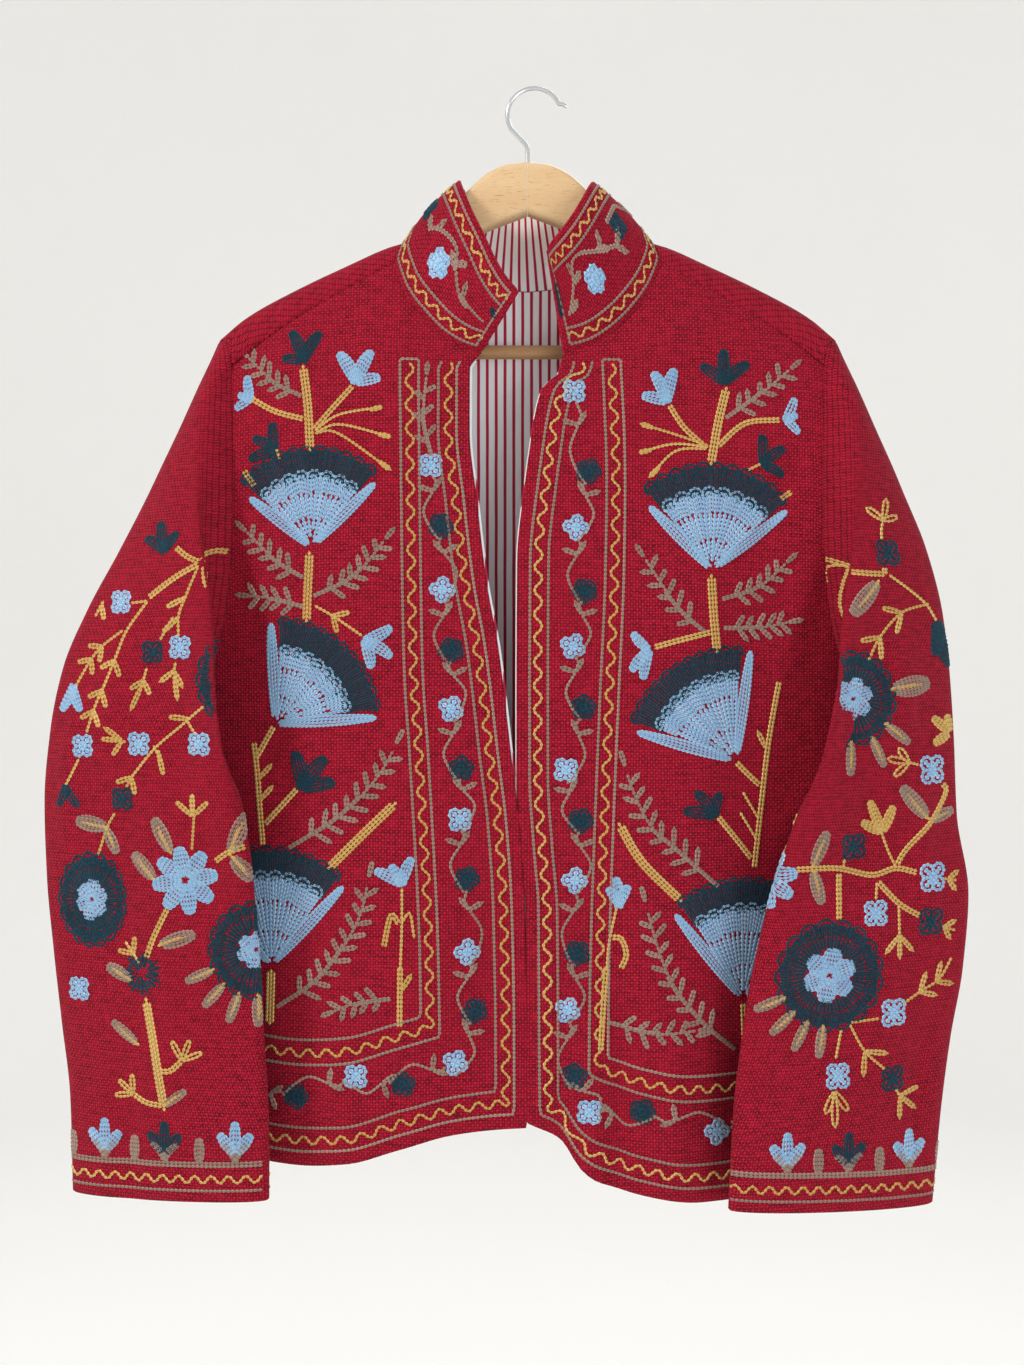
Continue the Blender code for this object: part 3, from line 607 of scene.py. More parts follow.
def sleeve(side, columns, rows):
    """Grid of a sleeve, rings from the armhole down to the cuff, each a flattened tube."""
    table = SLEEVES[side]
    hole = armhole(side, columns)
    ring = np.linspace(0, len(table) - 1, rows)[:, None, None]
    over = np.concatenate([along(table, ring, k) for k in (0, 2, 1)], axis=-1)
    under = np.concatenate([along(table, ring, k) for k in (3, 5, 4)], axis=-1)
    depth = along(table, ring, 6)
    roll = along(table, ring, 7)
    tuck = along(table, ring, 8)
    turn = (np.arange(columns) / columns * 2 * math.pi)[None, :, None]
    lengthwise = over - under
    length = np.linalg.norm(lengthwise, axis=-1, keepdims=True)
    lengthwise = lengthwise / length
    ahead = np.array([0, -1.0, 0]) + lengthwise[..., 1:2] * lengthwise
    ahead = ahead / np.linalg.norm(ahead, axis=-1, keepdims=True)
    grid = (over + under) / 2 + lengthwise * length / 2 * np.cos(turn)
    grid = grid + ahead * depth * np.sin(turn)
    low = (1 - np.cos(turn)) / 1.3
    forward = np.clip(np.sin(turn), 0, 1) ** 2 * low
    backward = np.clip(-np.sin(turn), 0, 1) * low
    grid = grid + np.array([-side, 0, 0]) * (roll * forward - tuck * backward)
    finer = [(*crease[:-1], CREASE_DEPTH * crease[-1]) for crease in FINE_CREASES[side]]
    for round_at, ring_at, round_width, ring_width, height in (*SLEEVE_CREASES, *finer):
        reach = ((turn / (2 * math.pi) - round_at) / round_width) ** 2
        reach = reach + ((ring - ring_at + 4 * (turn / (2 * math.pi) - round_at)) / ring_width) ** 2
        grid = grid + ahead * np.sign(np.sin(turn)) * height * np.exp(-reach)
    flat = grid[0]
    kept = np.clip(1 - ring / 2.6, 0, 1) ** 1.5
    grid = grid + kept * (hole - flat)
    grid[0] = grid[0] + (grid[1] - grid[0]) / np.linalg.norm(
        grid[1] - grid[0], axis=-1, keepdims=True
    ) * (CLOTH / 2 + 2 * SEAM_GAP)
    return grid


def neck_seam(count):
    """The neckline of fronts and back, from the left front corner round to the right one."""
    left = front_panel(LEFT, 60, 2, 2)[0]
    right = front_panel(RIGHT, 60, 2, 2)[0]
    back = back_panel(2, 4, 4, 2)[0]
    at_point = 0.01            # how near a column counts as the neck point's own
    left = left[left[:, 0] > -NECK_POINT - at_point]
    right = right[right[:, 0] < NECK_POINT + at_point]
    back = back[np.abs(back[:, 0]) < NECK_POINT]
    seam = np.vstack([left[::-1], back, right])
    return resampled(seam, np.linspace(0, lengths(seam)[-1], count))


def collar(columns, rows):
    """Grid of the stand collar, from its free edge down to the neck seam."""
    share = np.linspace(0, 1, columns)
    seam = neck_seam(columns)
    edge = np.column_stack([smooth(COLLAR_EDGE, share, k) for k in (1, 2, 3)])
    up = edge - seam
    height = np.linalg.norm(up, axis=1, keepdims=True)
    outward = np.cross(up, np.gradient(seam, axis=0))
    outward = outward / np.linalg.norm(outward, axis=1, keepdims=True)
    start = CLOTH / 4 / height
    v = np.linspace(1, 0, rows)[:, None, None]
    v = start + (1 - start) * v
    return seam + up * v + outward * COLLAR_BELLY * np.sin(math.pi * v)


def placed(points):
    """Table millimetres as metres in the part's frame."""
    return (np.asarray(points, float) + [CENTRE_X, 0, -HOOK_TOP_Z]) * MM


def mesh_object(name, points, quads, corners, material):
    """An object from points in table millimetres and four-cornered faces with their UV places."""
    mesh = bpy.data.meshes.new(name)
    mesh.vertices.add(len(points))
    mesh.vertices.foreach_set("co", placed(points).ravel())
    mesh.loops.add(quads.size)
    mesh.loops.foreach_set("vertex_index", quads.ravel().astype(np.int32))
    mesh.polygons.add(len(quads))
    mesh.polygons.foreach_set("loop_start", np.arange(0, quads.size, 4, dtype=np.int32))
    mesh.uv_layers.new(name="flat").data.foreach_set("uv", corners.reshape(-1, 2).ravel())
    mesh.update(calc_edges=True)
    mesh.validate()
    mesh.shade_smooth()
    mesh.materials.append(material)
    made = bpy.data.objects.new(name, mesh)
    bpy.context.scene.collection.objects.link(made)
    return made


def cells(table):
    """The corners of each four-cornered face of a grid, down it first, from a table of its points."""
    corners = np.stack([table[:-1, :-1], table[1:, :-1], table[1:, 1:], table[:-1, 1:]], axis=2)
    return corners.reshape(-1, *corners.shape[2:])


def wall(name, grid, thickness, flat, material, round_about=False):
    """A sheet of cloth with two faces and rounded edges; flat gives its cut's own places as UV."""
    rows, columns = grid.shape[:2]
    out = normals(grid, round_about) * thickness / 2
    number = np.arange(rows * columns).reshape(rows, columns)
    wrapped = np.hstack([number, number[:, :1]]) if round_about else number
    quads, place = cells(wrapped), cells(flat)
    count = rows * columns
    points = [(grid + out).reshape(-1, 3), (grid - out).reshape(-1, 3)]
    faces = [quads, quads[:, ::-1] + count]
    places = [place, place[:, ::-1]]
    first = 2 * count
    for loop, inward, loop_flat in edge_loops(number, grid, flat, round_about):
        away = grid.reshape(-1, 3)[loop] - inward
        away = away / np.maximum(np.linalg.norm(away, axis=1, keepdims=True), 1e-9)
        rim = grid.reshape(-1, 3)[loop] + away * thickness * 0.5
        points.append(rim)
        here = np.arange(len(loop))
        after = np.roll(here, -1)
        closed = here if round_about or len(loop) > columns else here[:-1]
        a, b = here[closed], after[closed]
        uv = np.stack([loop_flat[a], loop_flat[b], loop_flat[b], loop_flat[a]], axis=1)
        faces.append(np.stack([loop[a], loop[b], first + b, first + a], axis=1))
        faces.append(np.stack([first + a, first + b, count + loop[b], count + loop[a]], axis=1))
        places += [uv, uv]
        first += len(loop)
    made = mesh_object(name, np.vstack(points), np.vstack(faces), np.concatenate(places), material)
    shape = bmesh.new()
    shape.from_mesh(made.data)
    bmesh.ops.recalc_face_normals(shape, faces=shape.faces)
    shape.to_mesh(made.data)
    shape.free()
    return made


def edge_loops(number, grid, flat, round_about):
    """Each open edge of a grid: its points' numbers, the points just inside them, their flat places."""
    flat = flat[:, : grid.shape[1]]
    if round_about:
        for row, inner in ((0, 1), (-1, -2)):
            yield number[row], grid[inner], flat[row]
        return
    loop, inward, place = [], [], []
    sides = (
        (number[0, :-1], grid[1, :-1], flat[0, :-1]),
        (number[:-1, -1], grid[:-1, -2], flat[:-1, -1]),
        (number[-1, :0:-1], grid[-2, :0:-1], flat[-1, :0:-1]),
        (number[:0:-1, 0], grid[:0:-1, 1], flat[:0:-1, 0]),
    )
    for numbers, inner, places in sides:
        loop.append(numbers)
        inward.append(inner)
        place.append(places)
    yield np.concatenate(loop), np.concatenate(inward), np.concatenate(place)


class Chart:
    """The outer face of a panel, read at places in millimetres across and up it."""

    def __init__(self, across, up, points, outward):
        self.low = np.array([across[0], up[0]])
        self.step = np.array([across[1] - across[0], up[1] - up[0]])
        self.last = np.array([len(across) - 1.001, len(up) - 1.001])
        self.points = points
        self.outward = outward
        self.stretch = lambda across: 1.0
        normal = np.cross(np.gradient(points, axis=1), np.gradient(points, axis=0)) * outward
        self.normals = normal / np.maximum(np.linalg.norm(normal, axis=-1, keepdims=True), 1e-9)

    def at(self, places, lift):
        """Points of the face at these places, lifted off it by so many millimetres."""
        cell = np.clip((places - self.low) / self.step, 0, self.last)
        whole = cell.astype(int)
        i, j = whole[:, 0], whole[:, 1]
        s, t = (cell - whole).T[:, :, None]
        point, normal = (
            (table[j, i] * (1 - s) + table[j, i + 1] * s) * (1 - t)
            + (table[j + 1, i] * (1 - s) + table[j + 1, i + 1] * s) * t
            for table in (self.points, self.normals)
        )
        return point + normal * lift[:, None]


def lattice(left, right, low, high):
    """Even places across and up a panel."""
    return np.arange(left, right + 1, CHART_STEP), np.arange(low, high + 1, CHART_STEP)


def front_chart(side):
    """A front's outer face by x and height."""
    across, up = lattice(min(0, side * 246) - 8, max(0, side * 246) + 8, -772, -100)
    x, z = np.meshgrid(across, up)
    return Chart(across, up, np.stack([x, front_y(x, z, side), z], axis=-1), 1)


def back_chart():
    """The back's outer face by x and height."""
    across, up = lattice(-240, 240, -762, -116)
    x, z = np.meshgrid(across, up)
    return Chart(across, up, np.stack([x, back_y(x, z), z], axis=-1), -1)


def sleeve_chart(side, grid, behind=False):
    """A sleeve's face by height and distance round it, which at the middle of its front is its x.

    The chart of its back has x at the middle of the back instead.
    """
    rows, columns = grid.shape[:2]
    half = columns // 2
    up = np.arange(-768, -230, CHART_STEP)
    if behind:
        order = list(range(half, columns)) + list(range(half + 1))
    else:
        order = list(range(half, -1, -1)) + list(range(columns - 1, half - 1, -1))
    outward = -1 if behind else 1
    if side == LEFT:
        order = order[::-1]
    slices = np.empty((len(up), columns, 2))
    for k in range(columns):
        down = np.maximum.accumulate(-grid[:, k, 2] + 1e-6 * np.arange(rows))
        for axis in (0, 1):
            slices[:, k, axis] = np.interp(-up, down, grid[:, k, axis])
    ring = slices[:, order]
    step = np.diff(ring, axis=1)
    span = np.linalg.norm(step, axis=-1)
    flat = np.array([(max(a, b) <= half) != behind for a, b in zip(order, order[1:])])
    facing = np.clip(np.abs(step[..., 0]) / np.maximum(span, 1e-9), 0.6, 1)
    span = span * np.where(flat, facing, 1)
    round_at = np.concatenate([np.zeros((len(up), 1)), np.cumsum(span, axis=1)], axis=1)
    middle = order.index(3 * columns // 4 if behind else columns // 4)
    round_at += (ring[:, middle, 0] - round_at[:, middle])[:, None]
    across = np.arange(round_at.min() // 2 * 2, round_at.max() + 2, CHART_STEP)
    points = np.empty((len(up), len(across), 3))
    points[..., 2] = np.maximum(up, grid[-1, :, 2].min() + 1)[:, None]
    for k in range(len(up)):
        for axis in (0, 1):
            points[k, :, axis] = np.interp(across, round_at[k], ring[k, :, axis])
    chart = Chart(across, up, points, outward)
    chart.fold = lambda z: np.interp(z, up, round_at[:, order.index(0)])
    chart.hem = lambda x: np.interp(x, round_at[0], grid[-1, order, 2])
    chart.round_hem = (round_at[0, 0], round_at[0, -1])
    return chart


def collar_chart(grid):
    """The collar's outer face by distance along the neck seam and height above it.

    Heights are true near the seam and near the free edge, and stretched between them.
    """
    seam = lengths(grid[-1])
    tall = np.linalg.norm(grid[0] - grid[-1], axis=1)
    across = np.arange(0, seam[-1], CHART_STEP)
    up = np.arange(0, COLLAR_HEIGHT + 1, CHART_STEP)
    share = np.interp(across, seam, np.arange(len(seam)))
    whole = np.minimum(share.astype(int), len(seam) - 2)
    part = (share - whole)[:, None]
    column = grid[::-1, whole] * (1 - part) + grid[::-1, whole + 1] * part
    height = np.interp(across, seam, tall)
    points = np.empty((len(up), len(across), 3))
    for k in range(len(across)):
        at = np.linspace(0, height[k], grid.shape[0])
        kept = (0, COLLAR_TRUE, COLLAR_HEIGHT - COLLAR_TRUE, COLLAR_HEIGHT)
        true_up = np.interp(up, kept, (0, COLLAR_TRUE, height[k] - COLLAR_TRUE, height[k]))
        for axis in range(3):
            points[:, k, axis] = np.interp(true_up, at, column[:, k, axis])
    chart = Chart(across, up, points, -1)
    middle = 2 * COLLAR_TRUE
    chart.stretch = lambda at: np.interp(at, across, (height - middle) / (COLLAR_HEIGHT - middle))
    return chart


def curve(*points, steps=10):
    """A smooth line through places on a panel, each a complex number: across + up * 1j."""
    points = np.array(points, complex)
    if len(points) == 2:
        return np.linspace(points[0], points[1], steps)
    ends = np.r_[2 * points[0] - points[1], points, 2 * points[-1] - points[-2]]
    a, b, c, d = (ends[k : len(ends) - 3 + k, None] for k in range(4))
    t = np.linspace(0, 1, steps, endpoint=False)
    bent = 2 * b + (c - a) * t + (2 * a - 5 * b + 4 * c - d) * t**2 + (3 * b - a - 3 * c + d) * t**3
    return np.r_[bent.ravel() / 2, points[-1]]


def heading(line):
    """The way a line runs at each of its points, as unit numbers."""
    way = np.gradient(line)
    return way / np.maximum(np.abs(way), 1e-9)


def beside(line, distance):
    """The same line moved to its left."""
    return line + 1j * heading(line) * distance


def run(line):
    """How far along a panel's line each of its places lies."""
    return np.r_[0, np.cumsum(np.abs(np.diff(line)))]


def read_at(line, known, at):
    """A line's places at other values of what is known at each of its own."""
    return np.interp(at, known, line.real) + 1j * np.interp(at, known, line.imag)


def cut_short(line, share_from, share_to):
    """The stretch of a line between two shares of its length."""
    length = run(line)
    at = np.linspace(share_from, share_to, max(4, len(line))) * length[-1]
    return read_at(line, length, at)


def direction(degrees):
    """A unit step on a panel: 0 to the right, 90 up."""
    return np.exp(1j * math.radians(degrees))


class Needlework:
    """Rows of chain stitch on one panel, gathered by thread."""

    def __init__(self, chart, seed, within=None):
        self.chart = chart
        self.within = within
        self.nearness = 1.0
        self.moved = 0
        self.link = LINK
        self.rows = {}
        self.chance = np.random.default_rng(seed)

    def row(self, thread, line, width=ROW_WIDTH):
        """One row along a line; nearness draws in places read where they are seen from in front."""
        line = SEEN_FROM + (np.asarray(line, complex) - SEEN_FROM) * self.nearness + self.moved
        if self.within is None or self.within(line):
            self.rows.setdefault(thread, []).append((line, width))

    def upright(self, thread, foot, line, width):
        """A row of a small shape that keeps its height where the panel's own places are stretched."""
        away = line - foot
        self.row(thread, foot + away.real + 1j * away.imag / self.chart.stretch(foot.real), width)

    def stem(self, *points, rows=1, thread=GOLD):
        """A stalk: one row, or several side by side."""
        line = curve(*points)
        for k in range(rows):
            off = (k - (rows - 1) / 2) * ROW_GAP
            short = 0.05 * abs(off) / ROW_GAP
            self.row(thread, cut_short(beside(line, off), short, 1 - short))

    def loop(self, thread, base, tip, width=2.7):
        """A narrow leaf: one row out from the stalk and back."""
        t = np.linspace(0, 2 * math.pi, 17)
        middle = (1 - np.cos(t)) / 2
        side = np.sin(t) * (0.55 + 0.45 * middle) * width / 2
        way = (tip - base) / abs(tip - base)
        self.upright(thread, base, base + (tip - base) * middle + 1j * way * side, ROW_WIDTH * 0.95)

    def loops(self, *leaves):
        """Several golden leaves, each from a base to a tip."""
        for base, tip in leaves:
            self.loop(GOLD, base, tip)

    def petal(self, thread, base, tip, width, bend=0.0, start=0.0):
        """A petal filled with rows along it, which swell out and meet at its tip."""
        count = max(2, round(width / ROW_GAP))
        length = abs(tip - base)
        way = (tip - base) / length
        for k in range(count):
            t = np.linspace(start + self.chance.uniform(0, 0.08), 1, 14)
            off = (2 * k / (count - 1) - 1) * (width - ROW_WIDTH) / 2
            swell = np.sin(math.pi * np.clip(t * 0.90 + 0.03, 0, 1)) ** 0.55
            end = 1 - 0.10 * abs(off) / width
            side = off * swell + bend * length * np.sin(math.pi * t)
            self.row(thread, base + way * (length * t * end + 1j * side))

    def tulip(self, thread, base, degrees, size=25.0, angles=(24, -24, -88), lengths=(1, 1, 0.62)):
        """An open bud: a small cup with three pointed petals."""
        toward = direction(degrees)
        for angle, share in zip(angles, lengths):
            way = toward * direction(angle)
            tip = base + way * size * share
            self.petal(thread, base, tip, 0.40 * size * (0.6 + 0.4 * share), bend=-0.05 * np.sign(angle))
        self.petal(thread, base - toward * 1.5, base + toward * size * 0.42, 0.40 * size)

    def floret(self, thread, centre, size=19.0, petals=4, turned=45.0):
        """A small flower of round loops, each with a stitch in its middle."""
        reach = size / 2 - 1.1
        radius = reach * 0.43
        t = np.linspace(0, 2 * math.pi, 15)
        for k in range(petals):
            way = direction(turned + 360 * k / petals + self.chance.uniform(-6, 6))
            middle = centre + way * (reach - radius)
            self.upright(thread, centre, middle - way * radius * np.exp(1j * t), ROW_WIDTH * 1.2)
            self.upright(thread, centre, np.linspace(centre, middle + way * radius * 0.6, 5), ROW_WIDTH * 1.9)

    def rays(self, thread, centre, inner, outer, start, end, lobes=0, squeeze=1.0, gap=ROW_GAP):
        """Rows that stand out round a centre between two angles, their ends scalloped in lobes.

        A row begins further out than its neighbours where it would have no room between them.
        """
        span = math.radians(abs(end - start))
        count = max(2, round(span * outer * 0.93 / gap))
        for k in range(count):
            share = (k + 0.5) / count
            room = span / count
            step = 1
            while step < 16 and k % (2 * step) == 0:
                step *= 2
            low = max(inner, 0.75 * gap / (room * step))
            high = outer
            if lobes:
                in_lobe = 2 * (share * lobes % 1) - 1
                high -= span * outer / lobes * 0.42 * (1 - math.sqrt(1 - in_lobe**2 * 0.96))
            if high - low < 6:
                continue
            out = np.linspace(low + self.chance.uniform(0, LINK), high - self.chance.uniform(0, 1.5), 12)
            line = out * direction(start + (end - start) * share)
            between = room * out * 2 ** np.ceil(np.log2(np.maximum(1, 0.75 * gap / (room * out))))
            wide = np.clip(between * 1.28, ROW_WIDTH * 0.9, ROW_WIDTH * 1.8)
            self.row(thread, centre + line.real * squeeze + 1j * line.imag, wide)

    def fan(self, apex, axis, opening, scallop, crown, edges, lobes=8):
        """The jacket's big flower: sky-blue fan, a long petal down each side, and a navy crown."""
        low, high = axis - opening / 2, axis + opening / 2
        self.rays(NAVY, apex, scallop - 8, crown - 2, low + 5, high - 5, gap=1.9)
        self.arches(NAVY, apex, crown, low + 4, high - 4, lobes + 3)
        self.rays(SKY, apex, 4, scallop - 2, low + 6, high - 6, lobes, gap=2.3)
        self.arches(SKY, apex, scallop, low + 6, high - 6, lobes)
        for angle, reach in zip((low, high), edges):
            self.petal(SKY, apex, apex + direction(angle) * reach, 8.8, start=0.02)

    def arches(self, thread, centre, reach, start, end, lobes, squeeze=1.0):
        """A scalloped edge: a small round of stitches for each lobe, with one more inside it."""
        each = (end - start) / lobes
        round_tip = reach * math.sin(math.radians(abs(each) / 2)) * 0.92
        for k in range(lobes):
            way = direction(start + each * (k + 0.5))
            top = way * (reach - round_tip * 0.95)
            for part in (1, 0.35):
                arch = top + way * np.exp(1j * np.linspace(-2.1, 2.1, 11)) * round_tip * part
                self.row(thread, centre + arch.real * squeeze + 1j * arch.imag, ROW_WIDTH * 1.1)

    def leaf(self, base, tip, width=11.0):
        """A taupe leaf with a golden rib."""
        self.petal(TAUPE, base, tip, width)
        self.row(GOLD, np.linspace(base - (tip - base) * 0.06, base + (tip - base) * 0.78, 8))
        self.row(GOLD, np.linspace(base, base + (tip - base) * 0.6, 8) + 1j * (tip - base) * 0.03)

    def sprig(self, *points, leaves=5, size=12.0, thread=TAUPE, first=0.16):
        """A bending twig with pairs of narrow leaves, and one at its tip."""
        line = curve(*points)
        self.row(thread, cut_short(line, 0, 0.9))
        self.row(thread, beside(cut_short(line, 0, 0.55), 1.4), ROW_WIDTH * 0.8)
        length = run(line)
        way = heading(line)
        for k in range(leaves):
            for turn in (1, -1):
                share = first + (0.9 - first) * (k + (0.32 if turn < 0 else 0)) / leaves
                at = share * length[-1]
                foot = read_at(line, length, at)
                here = way[min(int(np.searchsorted(length, at)), len(way) - 1)]
                long = size * self.chance.uniform(0.85, 1.1) * (1 - 0.22 * share)
                self.loop(thread, foot, foot + here * direction(turn * self.chance.uniform(46, 60)) * long)
        self.loop(thread, line[-1] - way[-1] * size * 0.45, line[-1] + way[-1] * size * 0.4)

    def twig(self, *points, leaves=(0.5,), size=11.0, sides=(1, -1)):
        """A golden stalk with short looped leaves at chosen places."""
        self.stem(*points)
        line = curve(*points)
        way = heading(line)
        for share in leaves:
            k = int(share * (len(line) - 1))
            for turn in sides:
                self.loop(GOLD, line[k], line[k] + way[k] * direction(turn * 42) * size, 3.0)

    def trefoil(self, base, degrees, size):
        """Three looped golden leaves on the end of a stalk."""
        for angle in (0, 48, -48):
            self.loop(GOLD, base, base + direction(degrees) * direction(angle) * size, 3.6)

    def wave(self, line, period=15.5, height=2.6):
        """A golden row that swings from side to side of its line."""
        length = np.abs(np.diff(line)).sum()
        at = np.linspace(0, 1, max(8, int(length / 1.2)))
        spot = read_at(line, np.linspace(0, 1, len(line)), at)
        drift = np.cumsum(self.chance.normal(0, 0.035, len(at)))
        swing = np.sin(2 * math.pi * at * length / period + drift)
        swing = np.sign(swing) * np.abs(swing) ** 0.8
        self.row(GOLD, spot + 1j * heading(spot) * swing * height, ROW_WIDTH * 0.95)

    def vine(self, stops, size=19.0, sway=10.0):
        """A taupe vine with pairs of leaves between its florets: each stop is a place and a thread."""
        for k, (here, thread) in enumerate(stops):
            self.floret(thread, here, size, petals=4 + k % 2, turned=45 + 20 * (k % 3))
            if k + 1 == len(stops):
                break
            after = stops[k + 1][0]
            way = (after - here) / abs(after - here)
            turn = 1 if k % 2 else -1
            side = 1j * way * turn
            leaves = here + (after - here) * 0.42 + side * 1.5
            bulge = here + (after - here) * 0.70 + side * sway
            self.row(TAUPE, curve(here + way * 7, here + (after - here) * 0.33 - side * 2, leaves))
            self.row(TAUPE, curve(leaves, bulge, after + side * sway * 0.75, after + side * 3 + way * 9))
            for angle in (40, -62):
                self.loop(TAUPE, leaves, leaves - way * direction(turn * angle) * 10.5)

    def made(self, name, material):
        """One mesh for each thread: every row a strip, two sections to a link and five points across."""
        return [
            self.strips(f"{name}_{thread}", rows, material[thread])
            for thread, rows in self.rows.items()
        ]

    def strips(self, name, rows, material):
        """The mesh of one thread's rows: each link narrows at its ends and dips along its middle."""
        across = np.array([-1, -0.6, 0, 0.6, 1])
        across_first = [0, 3, 2, 1]
        rise = {True: np.array([0, 0.58, 0.66, 0.58, 0]), False: np.array([0, 1.0, 0.62, 1.0, 0])}
        spots, lifts, faces, places, shades = [], [], [], [], []
        first = 0
        for line, width in rows:
            length = run(line)
            if length[-1] < SHORTEST_ROW:
                continue
            links = max(1, round(length[-1] / self.link))
            at = np.linspace(0, length[-1], 2 * links + 1)
            spot = read_at(line, length, at)
            wide = np.interp(at, length, np.broadcast_to(width, line.shape)) / 2
            joint = np.arange(len(at)) % 2 == 0
            wide = wide * np.where(joint, JOINT_WIDTH, 1.0)
            wide[[0, -1]] *= JOINT_WIDTH
            lift = np.where(joint[:, None], rise[True], rise[False]) * (THREAD_HEIGHT + THREAD_SUNK)
            lift[[0, -1]] *= JOINT_WIDTH
            side = -1j * heading(spot)
            spots.append((spot[:, None] + side[:, None] * wide[:, None] * across).ravel())
            lifts.append(lift.ravel() - THREAD_SUNK)
            number = first + np.arange(len(at) * 5).reshape(-1, 5)
            faces.append(cells(number)[:, across_first])
            link, edge = np.meshgrid(np.arange(len(at)) / 2, across, indexing="ij")
            places.append(cells(np.stack([link, edge], axis=-1))[:, across_first])
            shades.append(np.full(len(at) * 5, self.chance.uniform(-1, 1)))
            first += len(at) * 5
        spots = np.concatenate(spots)
        points = self.chart.at(np.column_stack([spots.real, spots.imag]), CLOTH / 2 + np.concatenate(lifts))
        faces, places = np.vstack(faces), np.concatenate(places)
        if self.chart.outward < 0:
            faces, places = faces[:, ::-1], places[:, ::-1]
        made = mesh_object(name, points, faces, places, material)
        shade = made.data.attributes.new("row_shade", "FLOAT", "POINT")
        shade.data.foreach_set("value", np.concatenate(shades).astype(np.float32))
        return made


def front_band(side, aside, above, top):
    """A line beside the front edge that turns at the corner and runs on beside the hem."""
    z = np.arange(top, -775, -5.0)
    x = aside(z)
    hem = smooth(FRONT_HEM[side], np.abs(x)) + above
    down = x[z > hem] + 1j * z[z > hem]
    corner = x[z > hem][-1]
    out = side * np.arange(abs(corner) + 1, 234, 4.0)
    low = smooth(FRONT_HEM[side], np.abs(out)) + above
    return np.r_[down, out + 1j * low]


def beside_edge(side, distance):
    """Places at a distance from the front edge, by height."""
    return lambda z: smooth(FRONT_EDGE[side], z) + side * distance


def inner_band(side, distance):
    """Places beside the middle of the inner band, which follows the weave, by height."""
    return lambda z: smooth(INNER_BAND[side], z) + side * distance


def borders(work, side):
    """The two bands of a front: taupe, gold wave, taupe, round the corner and along the hem."""
    for aside, above in ((8.0, 9.0), (20.5, 25.0)):
        work.row(TAUPE, front_band(side, beside_edge(side, aside), above, -185))
    work.wave(front_band(side, beside_edge(side, 13.6), 16.5, -186))
    half = INNER_BAND_HALF
    inner = front_band(side, inner_band(side, half), 85, -184)
    outer = front_band(side, inner_band(side, -half), 68, -184)
    work.row(TAUPE, inner)
    work.row(TAUPE, outer)
    work.row(TAUPE, np.linspace(inner[0], outer[0], 6))
    work.wave(front_band(side, inner_band(side, 0), 76, -187))


